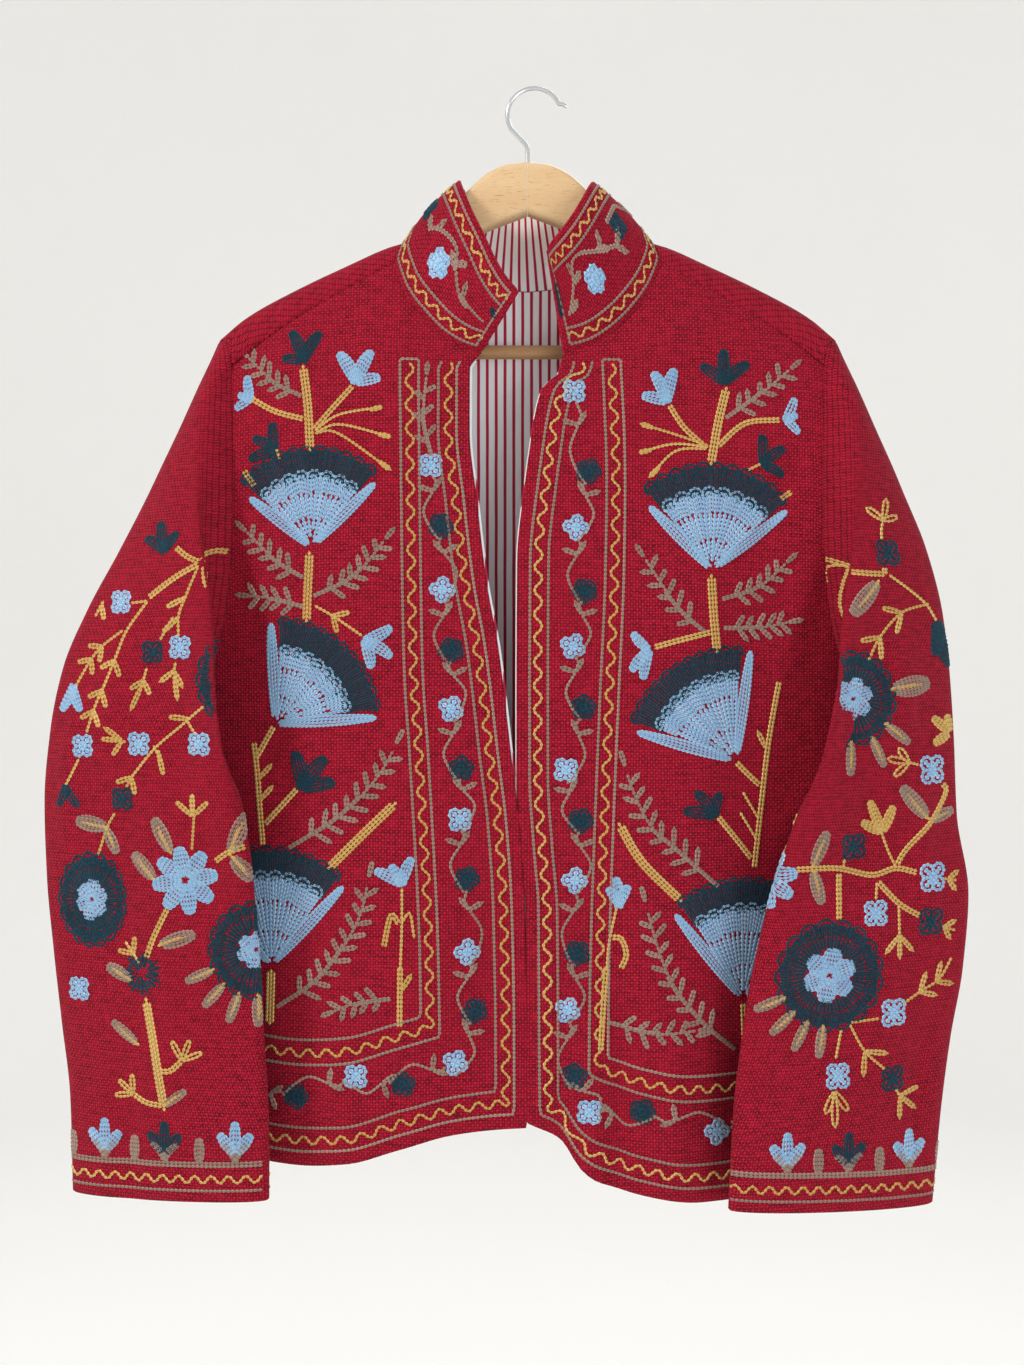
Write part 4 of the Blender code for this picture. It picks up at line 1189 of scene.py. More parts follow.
def left_front_flowers(work, vine=True):
    """The plants of the left front, from the shoulder down, and the vine beside its edge."""
    work.tulip(NAVY, -157-182j, 85, 25, (26, -24, 84))
    work.stem(-157-184j, -153-214j, -151-246j, rows=3)
    work.tulip(SKY, -119.5-198j, 92, 26, (27, -28, -80), (1, 1, 0.7))
    work.stem(-149-231j, -138-218j, -121-199j, rows=2)
    work.stem(-148-231j, -131-220j, -101-215j)
    work.stem(-147-232j, -130-227j, -95-236j)
    work.stem(-148-233j, -132-233j, -95-259j)
    work.loops((-110-217j, -101-215j), (-104-234j, -95-236j), (-103-253j, -95-259j))
    work.stem(-155-223j, -176-217j, -194-207j, rows=2)
    work.tulip(SKY, -193-208j, 160, 20, (-58, 0, 50), (0.9, 0.55, 0.7))
    work.sprig(-157-206j, -178-195j, -200-174j)
    work.tulip(NAVY, -175-245j, 148, 22, (-50, 2, 48), (0.95, 0.9, 0.95))
    work.stem(-175-243j, -172-252j)
    work.stem(-198-258j, -190-270j, rows=2)
    work.fan(-149.6-312j, 93.3, 97, 53, 70, (63, 57))
    work.stem(-151-315j, -152-340j, -153-365j, rows=3)
    work.sprig(-155-333j, -176-320j, -200-297j)
    work.sprig(-148-347j, -120-333j, -95-303j, leaves=6)
    work.sprig(-155-353j, -174-348j, -199-345j, leaves=4)
    work.twig(-147-353j, -133-361j, -114-374j, leaves=(0.45,), size=12)
    work.tulip(SKY, -113-377j, -28, 23, (53, -3, -47), (0.95, 1, 0.9))
    work.fan(-175-434.6j, 48, 89, 54.5, 74, (72, 71))
    work.stem(-176-436j, -183-448j, -190-460j, rows=2)
    work.tulip(NAVY, -156-480j, 76, 29, (25, -23, -64), (0.95, 1, 0.85))
    work.stem(-159-479j, -170-491j, -183-505j, rows=2)
    work.stem(-191-446j, -187-480j, -184-521j, rows=2)
    work.loops((-187-473j, -178-463j), (-186-488j, -177-478j))
    work.sprig(-165-521j, -129-498j, -102-469j, -88-443j, leaves=8, size=13)
    work.stem(-138-535j, -112-509j, -90-488j, rows=3)
    work.fan(-178-602j, 92, 89, 65, 82, (77, 77))
    work.stem(-178-605j, -179-644j, rows=3)
    work.sprig(-174-632j, -142-608j, -117-570j, -108-534j, leaves=9, size=13)
    work.sprig(-94-622j, -118-626j, -138-634j, leaves=4, size=11)
    work.stem(-88-643j, -87.5-600j, rows=2)
    work.stem(-87.5-603j, -86.5-575j, -86.4-547j)
    work.stem(-88-572j, -94-566j, -99-588j, rows=2)
    work.stem(-86-570j, -81-564j, -78-581j)
    work.loop(GOLD, -86.5-617j, -80-606j)
    work.tulip(SKY, -86.4-545j, 100, 22, (20, -30, 52), (0.75, 0.95, 1))
    stops = (
        (-67-256j, SKY), (-60-298j, NAVY), (-59-342j, SKY), (-53-384j, NAVY),
        (-53-424j, SKY), (-46-465j, NAVY), (-47-500j, SKY), (-42-541j, NAVY),
        (-42-591j, SKY), (-37-632j, NAVY), (-50-667j, SKY), (-86-681j, NAVY),
        (-118-676j, SKY), (-160-692j, NAVY), (-204-688j, SKY),
    )
    if vine:
        work.vine(stops)
        work.sprig(-66-250j, -72-222j, -70-188j, leaves=3, size=11)


def right_front_flowers(work, vine=True):
    """The plants of the right front: the left front's turned over, each in its own place."""
    work.tulip(NAVY, 136.5-198j, 90, 25, (0, 52, -50), (1, 0.85, 0.95))
    work.stem(138.5-200j, 132-226j, 126.5-256j, rows=3)
    work.tulip(SKY, 96.5-212j, 112, 25, (3, -34, 54), (0.95, 1, 0.75))
    work.stem(97.5-213j, 108-229j, 122-242j, rows=2)
    work.stem(125-242j, 101-234j, 78-227j)
    work.stem(125-243j, 101-241j, 77-247j)
    work.stem(124-244j, 102-246j, 84-264j)
    work.loops((87-230j, 78-227j), (86-245j, 77-247j), (91-257j, 84-264j))
    work.stem(131-243j, 151-226j, 177-223j, rows=2)
    work.tulip(SKY, 179-223j, 20, 19, (44, 4, -62), (0.95, 0.55, 0.75))
    work.sprig(137.5-223j, 161-206j, 188-183j)
    work.tulip(NAVY, 162.5-255j, 48, 22, (42, -10, -72), (1, 0.95, 0.8))
    work.stem(162-254j, 152-259j)
    work.stem(175-279j, 184-273j, rows=2)
    work.fan(126.6-328j, 86, 97, 57, 74, (69, 62))
    work.stem(126.5-331j, 128-358j, 130.5-386j, rows=3)
    work.sprig(122.5-371j, 102-352j, 77-315j, leaves=5)
    work.sprig(134-349j, 160-340j, 184-319j, leaves=5)
    work.sprig(135-369j, 160-368j, 187-363j, leaves=5)
    work.stem(127-371j, 104-377j, 86-382j, rows=2)
    work.tulip(SKY, 84-384j, 215, 21, (-80, 12, 41), (0.85, 0.95, 1))
    work.fan(144-460j, 123, 82, 62, 79, (78, 73))
    work.stem(144-461j, 152-469j, 162-478j, rows=2)
    work.tulip(NAVY, 128.5-499j, 122, 24, (46, 4, -44), (0.95, 0.95, 0.75))
    work.stem(130.5-498j, 143-513j, 156-529j, rows=2)
    work.stem(176-402j, 168-446j, 163-486j, 157-538j, rows=2)
    work.loop(GOLD, 166-452j, 160-440j)
    work.stem(160-500j, 149-482j)
    work.stem(159-515j, 147-496j)
    work.sprig(132-547j, 101-519j, 84-504j, 72-480j, 65-458j, leaves=8, size=13)
    work.stem(62-502j, 78-529j, 106-557j, rows=3)
    work.fan(148.8-625.4j, 88, 81, 66, 84, (78, 78))
    work.stem(149-628j, 150-655j, rows=2)
    work.sprig(144-660j, 121-640j, 100-614j, 89-588j, 79-551j, leaves=9, size=13)
    work.sprig(54-640j, 86-647j, 122-645j, leaves=5)
    work.stem(49.5-660j, 52-622j, 54-600j, rows=2)
    work.stem(54-603j, 56-583j, 61-560j)
    work.stem(57-581j, 64-582j, 67.5-593j, 63.5-603j, rows=2)
    work.tulip(SKY, 62.5-560j, 93, 21, (3, -28, 28), (1, 0.8, 0.75))
    stops = (
        (32-204j, SKY), (42-260j, NAVY), (33-299j, SKY), (39-343j, NAVY),
        (31-381j, SKY), (38-423j, NAVY), (26-466j, SKY), (36-501j, NAVY),
        (32-542j, SKY), (34-592j, NAVY), (27-631j, SKY), (32-676j, NAVY),
        (42-700j, SKY), (79-700j, NAVY), (130-716j, SKY), (176-714j, NAVY),
        (214-704j, SKY),
    )
    if vine:
        work.vine(stops)


def cuff(work):
    """Taupe line, gold wave and taupe line round the cuff."""
    across = np.arange(*work.chart.round_hem, 4.0)
    around = across + 1j * work.chart.hem(across)
    work.row(TAUPE, around + 7j)
    work.wave(around + 14.5j, period=11.5, height=2.4)
    work.row(TAUPE, around + 23.5j)
    work.row(TAUPE, around + 25.5j)


def cuff_flowers(work, side):
    """Open buds in taupe cups round the cuff, with a taupe oval bud between each two."""
    hem = work.chart.hem
    fold = CUFF_FLOWERS[side][0 if side == LEFT else -1][0]
    behind = [(fold + side * (48 * k + 50), (NAVY, SKY, NAVY)[k]) for k in range(3)]
    spots = sorted([*CUFF_FLOWERS[side], *behind])
    for k, (x, thread) in enumerate(spots):
        foot = x + 1j * (hem(x) + 26)
        for turn in (1, -1):
            work.petal(TAUPE, foot, foot + 16 * direction(90 - 38 * turn), 5.5, bend=0.12 * turn)
        for angle, share in ((0, 1), (38, 0.8), (-38, 0.8)):
            work.petal(thread, foot + 5j, foot + 5j + 23 * share * direction(90 + angle), 8.5)
        if k + 1 < len(spots):
            middle = (x + spots[k + 1][0]) / 2
            bud = middle + 1j * (hem(middle) + 25)
            work.petal(TAUPE, bud, bud + 18j, 8.0)


def rosette(work, centre, outer, inner, squeeze=1.0):
    """A round navy flower with a sky-blue heart of petals."""
    work.rays(NAVY, centre, inner - 4, outer - 2, 0, 360, 0, squeeze, gap=1.9)
    work.arches(NAVY, centre, outer, 0, 360, 17, squeeze)
    for k in range(6):
        way = direction(60 * k + 20)
        tip = centre + way.real * inner * squeeze * 1.02 + 1j * way.imag * inner * 1.02
        work.petal(SKY, centre, tip, inner * 0.78, start=0.05)


def rosette_leaves(work, centre, outer, angles, size=20.0):
    """Taupe leaves with golden ribs that stand out below a round flower."""
    for angle in angles:
        way = direction(angle)
        work.leaf(centre + way * (outer - 2), centre + way * (outer + size), 8.0)


def big_bloom(work, centre, radius, petals=8, first=10.0):
    """An open sky-blue flower of separate petals."""
    for k in range(petals):
        way = direction(first + 360 * k / petals)
        work.petal(SKY, centre + way * 1.5, centre + way * radius, radius * 0.52)


def left_sleeve_flowers(work):
    """The left sleeve's golden branches, florets and round flowers."""
    work.tulip(NAVY, -250-316j, 112, 23, (36, -8, -52), (0.9, 1, 0.7))
    work.stem(-242-313j, -233-320j, -224-324j, rows=2)
    work.stem(-202-314j, -212-315j, -224-324j, rows=2)
    work.stem(-224-325j, -243-335j, -262-348j, rows=2)
    work.loop(GOLD, -222-327j, -219-342j)
    work.twig(-225-327j, -232-345j, -238-360j, -238-375j, leaves=(0.4, 0.7), sides=(-1,), size=15)
    work.stem(-242-361j, -252-377j)
    for here, thread in (
        (-283-350j, SKY), (-237-382j, SKY), (-309-450j, SKY), (-267-448j, SKY),
        (-223-448j, SKY), (-258-385j, NAVY), (-279-486j, NAVY),
    ):
        work.floret(thread, here)
    work.stem(-262-350j, -275-351j)
    work.twig(-297-349j, -303-360j, leaves=(0.3,), sides=(1,))
    work.twig(-240-392j, -242-401j, leaves=(0.7,), size=13)
    work.loop(GOLD, -241-401j, -239-418j)
    work.twig(-262-396j, -265-407j, leaves=(0.8,), size=11)
    work.loop(GOLD, -265-407j, -273-425j)
    work.twig(
        -262-350j, -277-370j, -284-387j, -292-407j, -299-422j, -306-441j,
        leaves=(0.45, 0.66, 0.84), size=12,
    )
    work.twig(-280-370j, -296-381j, -305-391j, -316-409j, leaves=(0.35, 0.66), size=11)
    work.tulip(SKY, -318-408j, -95, 21, (25, -22, 0), (0.95, 1, 0.5))
    work.stem(-312-459j, -322-478j)
    work.tulip(NAVY, -322-478j, -85, 18, (28, -28, 0), (1, 0.9, 0.4))
    work.twig(-219-422j, -232-432j, -254-450j, -272-471j, leaves=(0.3,), sides=(-1,), size=15)
    work.twig(-232-432j, -225-442j, leaves=())
    work.twig(-272-471j, -276-478j, leaves=(0.1,), size=12)
    work.twig(-256-449j, -250-461j, leaves=())
    work.loop(GOLD, -253-452j, -249-469j)
    work.twig(-288-445j, -276-447j, leaves=())
    for tip in (-292-437j, -294-445j, -286-456j):
        work.loop(GOLD, -279-446j, tip)
    rosette(work, -193-404j, 33, 14, 0.95)
    work.stem(-285-496j, -291-506j, -298-526j)
    work.leaf(-291-506j, -315-502j, 12)
    work.leaf(-292-507j, -284-525j, 9)
    rosette(work, -303-557j, 33, 15, 0.78)
    big_bloom(work, -234-541j, 24)
    for base, tip in (
        (-244-522j, -256-498j), (-256-541j, -272-523j), (-202-522j, -192-494j),
        (-201-524j, -188-541j), (-252-586j, -226-577j),
    ):
        work.leaf(base, tip, 11)
    work.stem(-213-528j, -203-521j, -192-517j, rows=2)
    work.stem(-229-520j, -227-497j)
    for angle in (90, 140, 42):
        work.loop(GOLD, -228-497j, -228 - 497j + 15 * direction(angle))
    work.stem(-246-560j, -256-580j, -262-596j, rows=2)
    work.twig(-266-600j, -278-585j, leaves=(0.5,), size=12)
    work.rays(NAVY, -265-606j, 1, 16, 0, 360, 7)
    rosette(work, -186-588j, 33, 13, 0.95)
    rosette_leaves(work, -186-588j, 33, (205, 228, 250, 272, 292))
    work.floret(SKY, -313-620j)
    work.leaf(-273-611j, -292-602j, 10)
    work.leaf(-268-655j, -288-640j, 8)
    work.stem(-262-622j, -255-660j, -249-700j, rows=3)
    work.trefoil(-236-664j, 70, 15)
    work.stem(-252-672j, -244-671j, -236-664j, rows=2)
    work.trefoil(-272-690j, 140, 14)
    work.stem(-250-696j, -262-695j, -272-690j, rows=2)
    work.leaf(-249-696j, -233-684j, 7)


def right_sleeve_flowers(work):
    """The right sleeve's: much like the left's, but each branch runs its own way."""
    work.stem(196-318j, 209-325j, 217-330j, 230-331.5j, 246-331.5j, rows=2)
    work.stem(190-336j, 196-325j, 209-325j)
    work.stem(209-327j, 197-341j, 189-354j, 185-376j)
    work.loop(GOLD, 211-329j, 206-356j)
    work.floret(NAVY, 248-317j, 22)
    work.stem(244.5-327j, 244.5-332j, rows=2)
    work.stem(244.5-308j, 246-293j)
    for tip in (248-279j, 233-286j, 257-291j):
        work.loop(GOLD, 246-294j, tip, 4.6)
    work.leaf(239-337j, 219-361j, 13)
    work.stem(248-332j, 266-343j, 278-352j, 286-363j)
    work.tulip(NAVY, 286-364j, -76, 34, (8, -18, 0), (1, 0.7, 0.5))
    work.twig(280-351j, 257-358j, 240-375j, 231-391j, leaves=(0.34, 0.67), size=15)
    work.floret(SKY, 184-387j, 22)
    rosette(work, 220-417j, 32, 15)
    work.leaf(249-411j, 280-406j, 15)
    rosette_leaves(work, 220-417j, 31, (-36, -63, -92), 22)
    work.stem(190-423j, 178-427j, 178-442j)
    work.floret(SKY, 184-450j, 22)
    for tip in (281-430j, 294-428j, 282-449j):
        work.petal(GOLD, 297-441j, tip, 8)
    work.floret(SKY, 281-466.5j, 24)
    for tip in (254-451j, 246-458j, 251-470j):
        work.loop(GOLD, 262-461j, tip, 5)
    work.stem(262-461j, 270-463j)
    work.stem(288-476j, 293-482j, 281-501j, 261-521j, 253-533j, rows=2)
    work.leaf(277-500j, 256-477j, 12)
    work.leaf(280-502j, 300-495j, 9)
    for tip in (233-486j, 251-490j, 227-501j):
        work.petal(GOLD, 243-509j, tip, 8)
    work.stem(242-508j, 247-521j, 253-533j)
    work.twig(165-526j, 167-505j, 169-490j, leaves=(0.55,), sides=(-1,), size=15)
    work.loop(GOLD, 169-491j, 169-477j)
    big_bloom(work, 160-538j, 22)
    work.stem(178-532j, 208-532j, 235-538j, 253-534j, 271-538j, rows=2)
    work.leaf(192-530j, 202-506j, 10)
    work.leaf(192-533j, 199-557j, 10)
    work.floret(NAVY, 222-518j, 22)
    work.stem(215-526j, 214-533j)
    work.stem(211-535j, 211-568j, rows=2)
    work.floret(SKY, 281-541j, 24)
    work.twig(290-543j, 301-545j, leaves=(0.4,), size=10)
    work.floret(SKY, 238-564j, 21)
    work.stem(239-543j, 238-555j)
    work.stem(239-542j, 255-558j, 272-568j, rows=2)
    work.floret(NAVY, 280-572j, 23)
    work.twig(288-576j, 300-580j, leaves=(0.3,), size=10)
    work.stem(255-559j, 255.5-580j)
    for angle in (-90, -132, -48):
        work.loop(GOLD, 255.5-580j, 255.5 - 580j + 16 * direction(angle))
    rosette(work, 204.6-605j, 38, 19)
    rosette_leaves(work, 204.6-605j, 36, (203, 223, 243, 262), 21)
    work.stem(219-638j, 240-636j)
    work.floret(SKY, 251-633j, 23)
    work.twig(258-628j, 273-620j, 287-613j, 297-599j, leaves=(0.3, 0.6), size=14)
    work.twig(219-639j, 230-658j, 245-672j, leaves=(0.5,), size=17)
    work.floret(NAVY, 251-679j, 21)
    work.stem(253-686j, 257-692j)
    for tip in (272-688j, 257-708j, 270-703j):
        work.loop(GOLD, 257-692j, tip)
    work.stem(213-642j, 209-662j)
    work.floret(SKY, 210.5-674j, 21)
    for tip in (202-699j, 209-709j, 218-698j):
        work.loop(GOLD, 208-684j, tip, 5)


def back_flowers(work):
    """The back, like the fronts: a plant down each side, and one in the middle."""
    left_front_flowers(work, vine=False)
    right_front_flowers(work, vine=False)
    work.tulip(NAVY, 0-214j, 90, 27, (30, 0, -30), (1, 0.95, 1))
    work.stem(0-216j, 1-250j, 0-276j, rows=3)
    work.sprig(2-262j, 24-244j, 44-214j)
    work.sprig(-2-262j, -24-246j, -42-218j)
    work.fan(0-348j, 90, 94, 55, 72, (64, 64))
    work.stem(0-350j, 1-400j, 0-440j, rows=3)
    work.sprig(3-380j, 26-366j, 46-338j)
    work.sprig(-3-380j, -26-366j, -46-338j)
    rosette(work, 0-476j, 33, 14)
    for x in (-44, 44):
        work.floret(SKY, x - 420j, 20)
        work.twig(0-436j, x / 2 - 432j, x * 0.8 - 424j, leaves=(0.5,), size=12)
        work.floret(NAVY, x - 526j, 20)
        work.twig(0-512j, x / 2 - 514j, x * 0.8 - 522j, leaves=(0.5,), size=12)
    work.stem(0-510j, 0-560j, 0-612j, rows=3)
    work.tulip(SKY, 24-560j, 55, 24)
    work.tulip(SKY, -24-560j, 125, 24, (-24, 24, 88))
    work.stem(2-580j, 12-570j, 24-560j, rows=2)
    work.stem(-2-580j, -12-570j, -24-560j, rows=2)
    work.sprig(3-606j, 28-600j, 50-580j)
    work.sprig(-3-606j, -28-600j, -50-580j)


def back_border(work):
    """The hem bands and their vine, right across the back."""
    across = np.arange(-232, 232.1, 4.0)
    hem = smooth(BACK_HEM, across)
    for above in (9, 25, 68, 84):
        work.row(TAUPE, across + 1j * (hem + above))
    for above in (16.5, 76):
        work.wave(across + 1j * (hem + above))
    spots = np.linspace(-218, 218, 11)
    work.vine([
        (x + 1j * (smooth(BACK_HEM, x) + 46 + 3 * (-1) ** k), (NAVY, SKY)[k % 2])
        for k, x in enumerate(spots)
    ])


def collar_flowers(work, long):
    """The collar: a taupe, gold and taupe band along each edge and a leafy vine between."""
    full = np.arange(4, long - 3, 4.0)
    for above in (4.5, 15.5, COLLAR_HEIGHT - 15, COLLAR_HEIGHT - 4.5):
        work.row(TAUPE, full + 1j * above)
    for above in (10, COLLAR_HEIGHT - 9.8):
        work.wave(full + 1j * above, period=12.5, height=2.3)
    for end in (5.5, long - 5.5):
        work.row(TAUPE, end + 1j * np.linspace(4.5, COLLAR_HEIGHT - 4.5, 9))
    work.floret(SKY, 62+27j, 19, petals=5)
    work.petal(NAVY, 12+38j, 4+31j, 6)
    work.row(TAUPE, curve(10+23j, 24+26j, 38+27j, 50+32j))
    work.row(TAUPE, curve(50+32j, 60+37j, 77+34j, 86+29j))
    work.floret(SKY, long - 44 + 28j, 19, petals=5)
    work.petal(NAVY, long - 5 + 38j, long - 3 + 22j, 7)
    work.row(
        TAUPE,
        curve(long - 10 + 22j, long - 24 + 31j, long - 38 + 39j, long - 60 + 33j, long - 74 + 29j),
    )
    leaves = (
        (34+26j, 60), (38+27j, 190), (50+32j, 20), (54+33j, 130), (80+32j, 100), (84+30j, 20),
        (long - 13 + 23j, 150), (long - 26 + 32j, 165), (long - 28 + 34j, 95), (long - 58 + 34j, 215),
        (long - 61 + 33j, 120), (long - 73 + 29j, 240), (long - 74 + 29j, 150),
    )
    for foot, angle in leaves:
        work.loop(TAUPE, foot, foot + 11 * direction(angle), 3.0)
    stops = [
        (104 + (long - 190) * k / 6 + 1j * (29 + 3 * (-1) ** k), (NAVY, SKY)[k % 2]) for k in range(7)
    ]
    work.vine(stops, size=18, sway=6)


def linear(hex_colour):
    """An sRGB hex colour as linear red, green, blue and full alpha."""
    parts = [int(hex_colour[k : k + 2], 16) / 255 for k in (1, 3, 5)]
    return (*(c / 12.92 if c <= 0.04045 else ((c + 0.055) / 1.055) ** 2.4 for c in parts), 1.0)


class Surface:
    """A material being made: its shader's plain settings go in with its name, then its nodes."""

    def __init__(self, name, **settings):
        self.made = bpy.data.materials.new(name)
        self.made.use_nodes = True
        self.shader = self.made.node_tree.nodes["Principled BSDF"]
        for key, value in settings.items():
            self.shader.inputs[key.replace("_", " ")].default_value = value

    def add(self, kind, inputs=(), **settings):
        """A node with its settings; each input is a value, or an output to link. Gives its outputs."""
        made = self.made.node_tree.nodes.new("ShaderNode" + kind)
        for key, value in settings.items():
            setattr(made, key, value)
        for key, value in (inputs if isinstance(inputs, dict) else dict(enumerate(inputs))).items():
            if isinstance(value, bpy.types.NodeSocket):
                self.made.node_tree.links.new(value, made.inputs[key])
            else:
                made.inputs[key].default_value = value
        return made.outputs

    def linked(self, value, name="Base Color"):
        """An output linked to the shader."""
        self.made.node_tree.links.new(value, self.shader.inputs[name])

    def flat_place(self):
        """The two numbers of each place of the piece's flat map."""
        return self.add("SeparateXYZ", self.add("UVMap", uv_map="flat")[:1])[:2]

    def grain(self, u, v, across, up, detail=2.0):
        """Noise on a sheet whose grain is so many of its units across and up."""
        across = self.add("Math", (u, across), operation="DIVIDE")[0]
        up = self.add("Math", (v, up), operation="DIVIDE")[0]
        place = self.add("CombineXYZ", (across, up))[0]
        return self.add("TexNoise", {"Vector": place, "Scale": 1.0, "Detail": detail})[0]


def plain_weave(to, pitch, wander):
    """Height of a plain weave on the cut's own millimetres, its gaps and its two directions' slubs."""
    u, v = to.flat_place()
    waves = []
    for along, drift in ((u, to.grain(u, v, 4, 22)), (v, to.grain(u, v, 22, 4))):
        moved = to.add("Math", (drift, wander, along), operation="MULTIPLY_ADD")[0]
        turned = to.add("Math", (moved, 2 * math.pi / pitch), operation="MULTIPLY")[0]
        waves.append(to.add("Math", (turned,), operation="SINE")[0])
    over = to.add("Math", waves, operation="MULTIPLY")[0]
    sizes = [to.add("Math", (wave,), operation="ABSOLUTE")[0] for wave in waves]
    gaps = to.add("Math", sizes, operation="MAXIMUM")[0]
    slub_u = to.grain(u, v, 11, pitch * 0.6, 3.0)
    slub_v = to.grain(u, v, pitch * 0.6, 11, 3.0)
    return u, v, over, gaps, slub_u, slub_v


def crimson_slub_cotton():
    """Hand-loomed cotton dyed crimson: coarse plain weave, uneven slubby threads, matt with a nap."""
    to = Surface(
        "crimson_slub_cotton", Roughness=0.92, Specular_IOR_Level=0.14, Sheen_Weight=0.06,
        Sheen_Roughness=0.5, Sheen_Tint=linear("#E9A0AE"),
    )
    u, v, over, gaps, slub_u, slub_v = plain_weave(to, WEAVE_PITCH, 1.6)
    # the first number brings the middle of the cloth to 0.45
    tone_and_painted_light = -2.07
    # painted shade and light of the weave's relief: its gaps are painted dark and its crossings lighter or darker; the
    # slubs are the yarn's own uneven tone
    for value, weight in ((over, 0.34), (slub_u, 1.2), (slub_v, 0.8), (gaps, 1.9)):
        tone_and_painted_light = to.add("Math", (value, weight, tone_and_painted_light), operation="MULTIPLY_ADD")[0]
    threads = to.add("Mix", {0: tone_and_painted_light, 6: linear("#3A020A"), 7: linear("#AC1731")}, data_type="RGBA")[2]
    faded = to.add("Math", (to.grain(u, v, 70, 90), 0.5, -0.15), operation="MULTIPLY_ADD")[0]
    to.linked(to.add("Mix", {0: faded, 6: threads, 7: linear("#941025")}, data_type="RGBA")[2])
    height = 0.0
    for value, weight in ((over, 0.35), (slub_u, 0.8), (gaps, 0.6)):
        height = to.add("Math", (value, weight, height), operation="MULTIPLY_ADD")[0]
    relief = {"Strength": 0.7, "Distance": 0.0005, "Height": height}
    to.linked(to.add("Bump", relief)[0], "Normal")
    return to.made


def striped_cotton_lining():
    """Thin white cotton woven with crimson stripes one third as wide as their pitch, slightly creased."""
    to = Surface("striped_cotton_lining", Roughness=0.8, Specular_IOR_Level=0.25)
    u, v, over, gaps, slub_u, slub_v = plain_weave(to, 0.7, 0.5)
    off = to.add("Math", (to.grain(u, v, 12, 40), 0.5, u), operation="MULTIPLY_ADD")[0]
    # how far a place is from the middle of its stripe, in pitches
    steps = (("ADD", 6300), ("DIVIDE", STRIPE_PITCH), ("FRACT", 0), ("SUBTRACT", 0.5), ("ABSOLUTE", 0))
    for operation, value in steps:
        off = to.add("Math", (off, value), operation=operation)[0]
    at_edge = 11 * STRIPE_WIDE / STRIPE_PITCH + 0.5
    stripe = to.add("Math", (off, -22, at_edge), operation="MULTIPLY_ADD")[0]
    white = to.add("Mix", {0: slub_v, 6: linear("#E6E6EB"), 7: linear("#FAF9FB")}, data_type="RGBA")[2]
    red = to.add("Mix", {0: slub_v, 6: linear("#A0142F"), 7: linear("#C12243")}, data_type="RGBA")[2]
    to.linked(to.add("Mix", {0: stripe, 6: white, 7: red}, data_type="RGBA")[2])
    puckered = to.grain(u, v, 16, 26, 3.0)
    height = to.add("Math", (over, 0.05, puckered), operation="MULTIPLY_ADD")[0]
    relief = {"Strength": 0.5, "Distance": 0.0012, "Height": height}
    to.linked(to.add("Bump", relief)[0], "Normal")
    return to.made


def cotton_thread(name, painted_shade_colour, dark, light, tint):
    """Soft two-ply embroidery cotton with heathered colour, each link painted lighter where its two strands swell, as
    highlight, and darker in its eye and joints, as shade.
    """
    to = Surface(
        name, Roughness=0.78, Specular_IOR_Level=0.25, Sheen_Weight=0.25, Sheen_Roughness=0.4,
        Sheen_Tint=linear(tint),
    )
    link, edge = to.flat_place()
    row = to.add("Attribute", attribute_name="row_shade")[2]
    fibres = to.grain(link, edge, 0.22, 0.5, 3.0)
    turned = to.add("Math", (link, 6 * math.pi), operation="MULTIPLY")[0]
    turned = to.add("Math", (edge, 4.4 * math.pi, turned), operation="MULTIPLY_ADD")[0]
    twist = to.add("Math", (turned,), operation="SINE")[0]
    swell = link
    for operation, value in (("MULTIPLY", math.pi), ("SINE", 0), ("ABSOLUTE", 0)):
        swell = to.add("Math", (swell, value), operation=operation)[0]
    # the first number brings the middle of a strand to a half
    tone_and_painted_light = -0.55
    # painted highlight: swell lightens the middle of each link and twist the ridges of its ply; fibres and row are the
    # thread's own tone
    for value, weight in ((fibres, 1.5), (row, 0.16), (twist, 0.06), (swell, 0.5)):
        tone_and_painted_light = to.add("Math", (value, weight, tone_and_painted_light), operation="MULTIPLY_ADD")[0]
    strands = to.add("Mix", {0: tone_and_painted_light, 6: linear(dark), 7: linear(light)}, data_type="RGBA")[2]
    # painted shade: the eye of a link and the joint between two links are painted darker, towards a shade colour
    off_middle = to.add("Math", (edge,), operation="ABSOLUTE")[0]
    middle = to.add("Math", (off_middle, -2.2, 1.0), operation="MULTIPLY_ADD", use_clamp=True)[0]
    painted_eye_shade = to.add("Math", (swell, middle), operation="MULTIPLY")[0]
    painted_eye_shade = to.add("Math", (painted_eye_shade, 0.85), operation="MULTIPLY")[0]
    joint = to.add("Math", (swell, -1.2, 0.54), operation="MULTIPLY_ADD")[0]
    painted_shade_share = to.add("Math", (painted_eye_shade, joint), operation="MAXIMUM")[0]
    to.linked(to.add("Mix", {0: painted_shade_share, 6: strands, 7: linear(painted_shade_colour)}, data_type="RGBA")[2])
    height = to.add("Math", (twist, 0.5, fibres), operation="MULTIPLY_ADD")[0]
    relief = {"Strength": 0.6, "Distance": 0.0003, "Height": height}
    to.linked(to.add("Bump", relief)[0], "Normal")
    return to.made


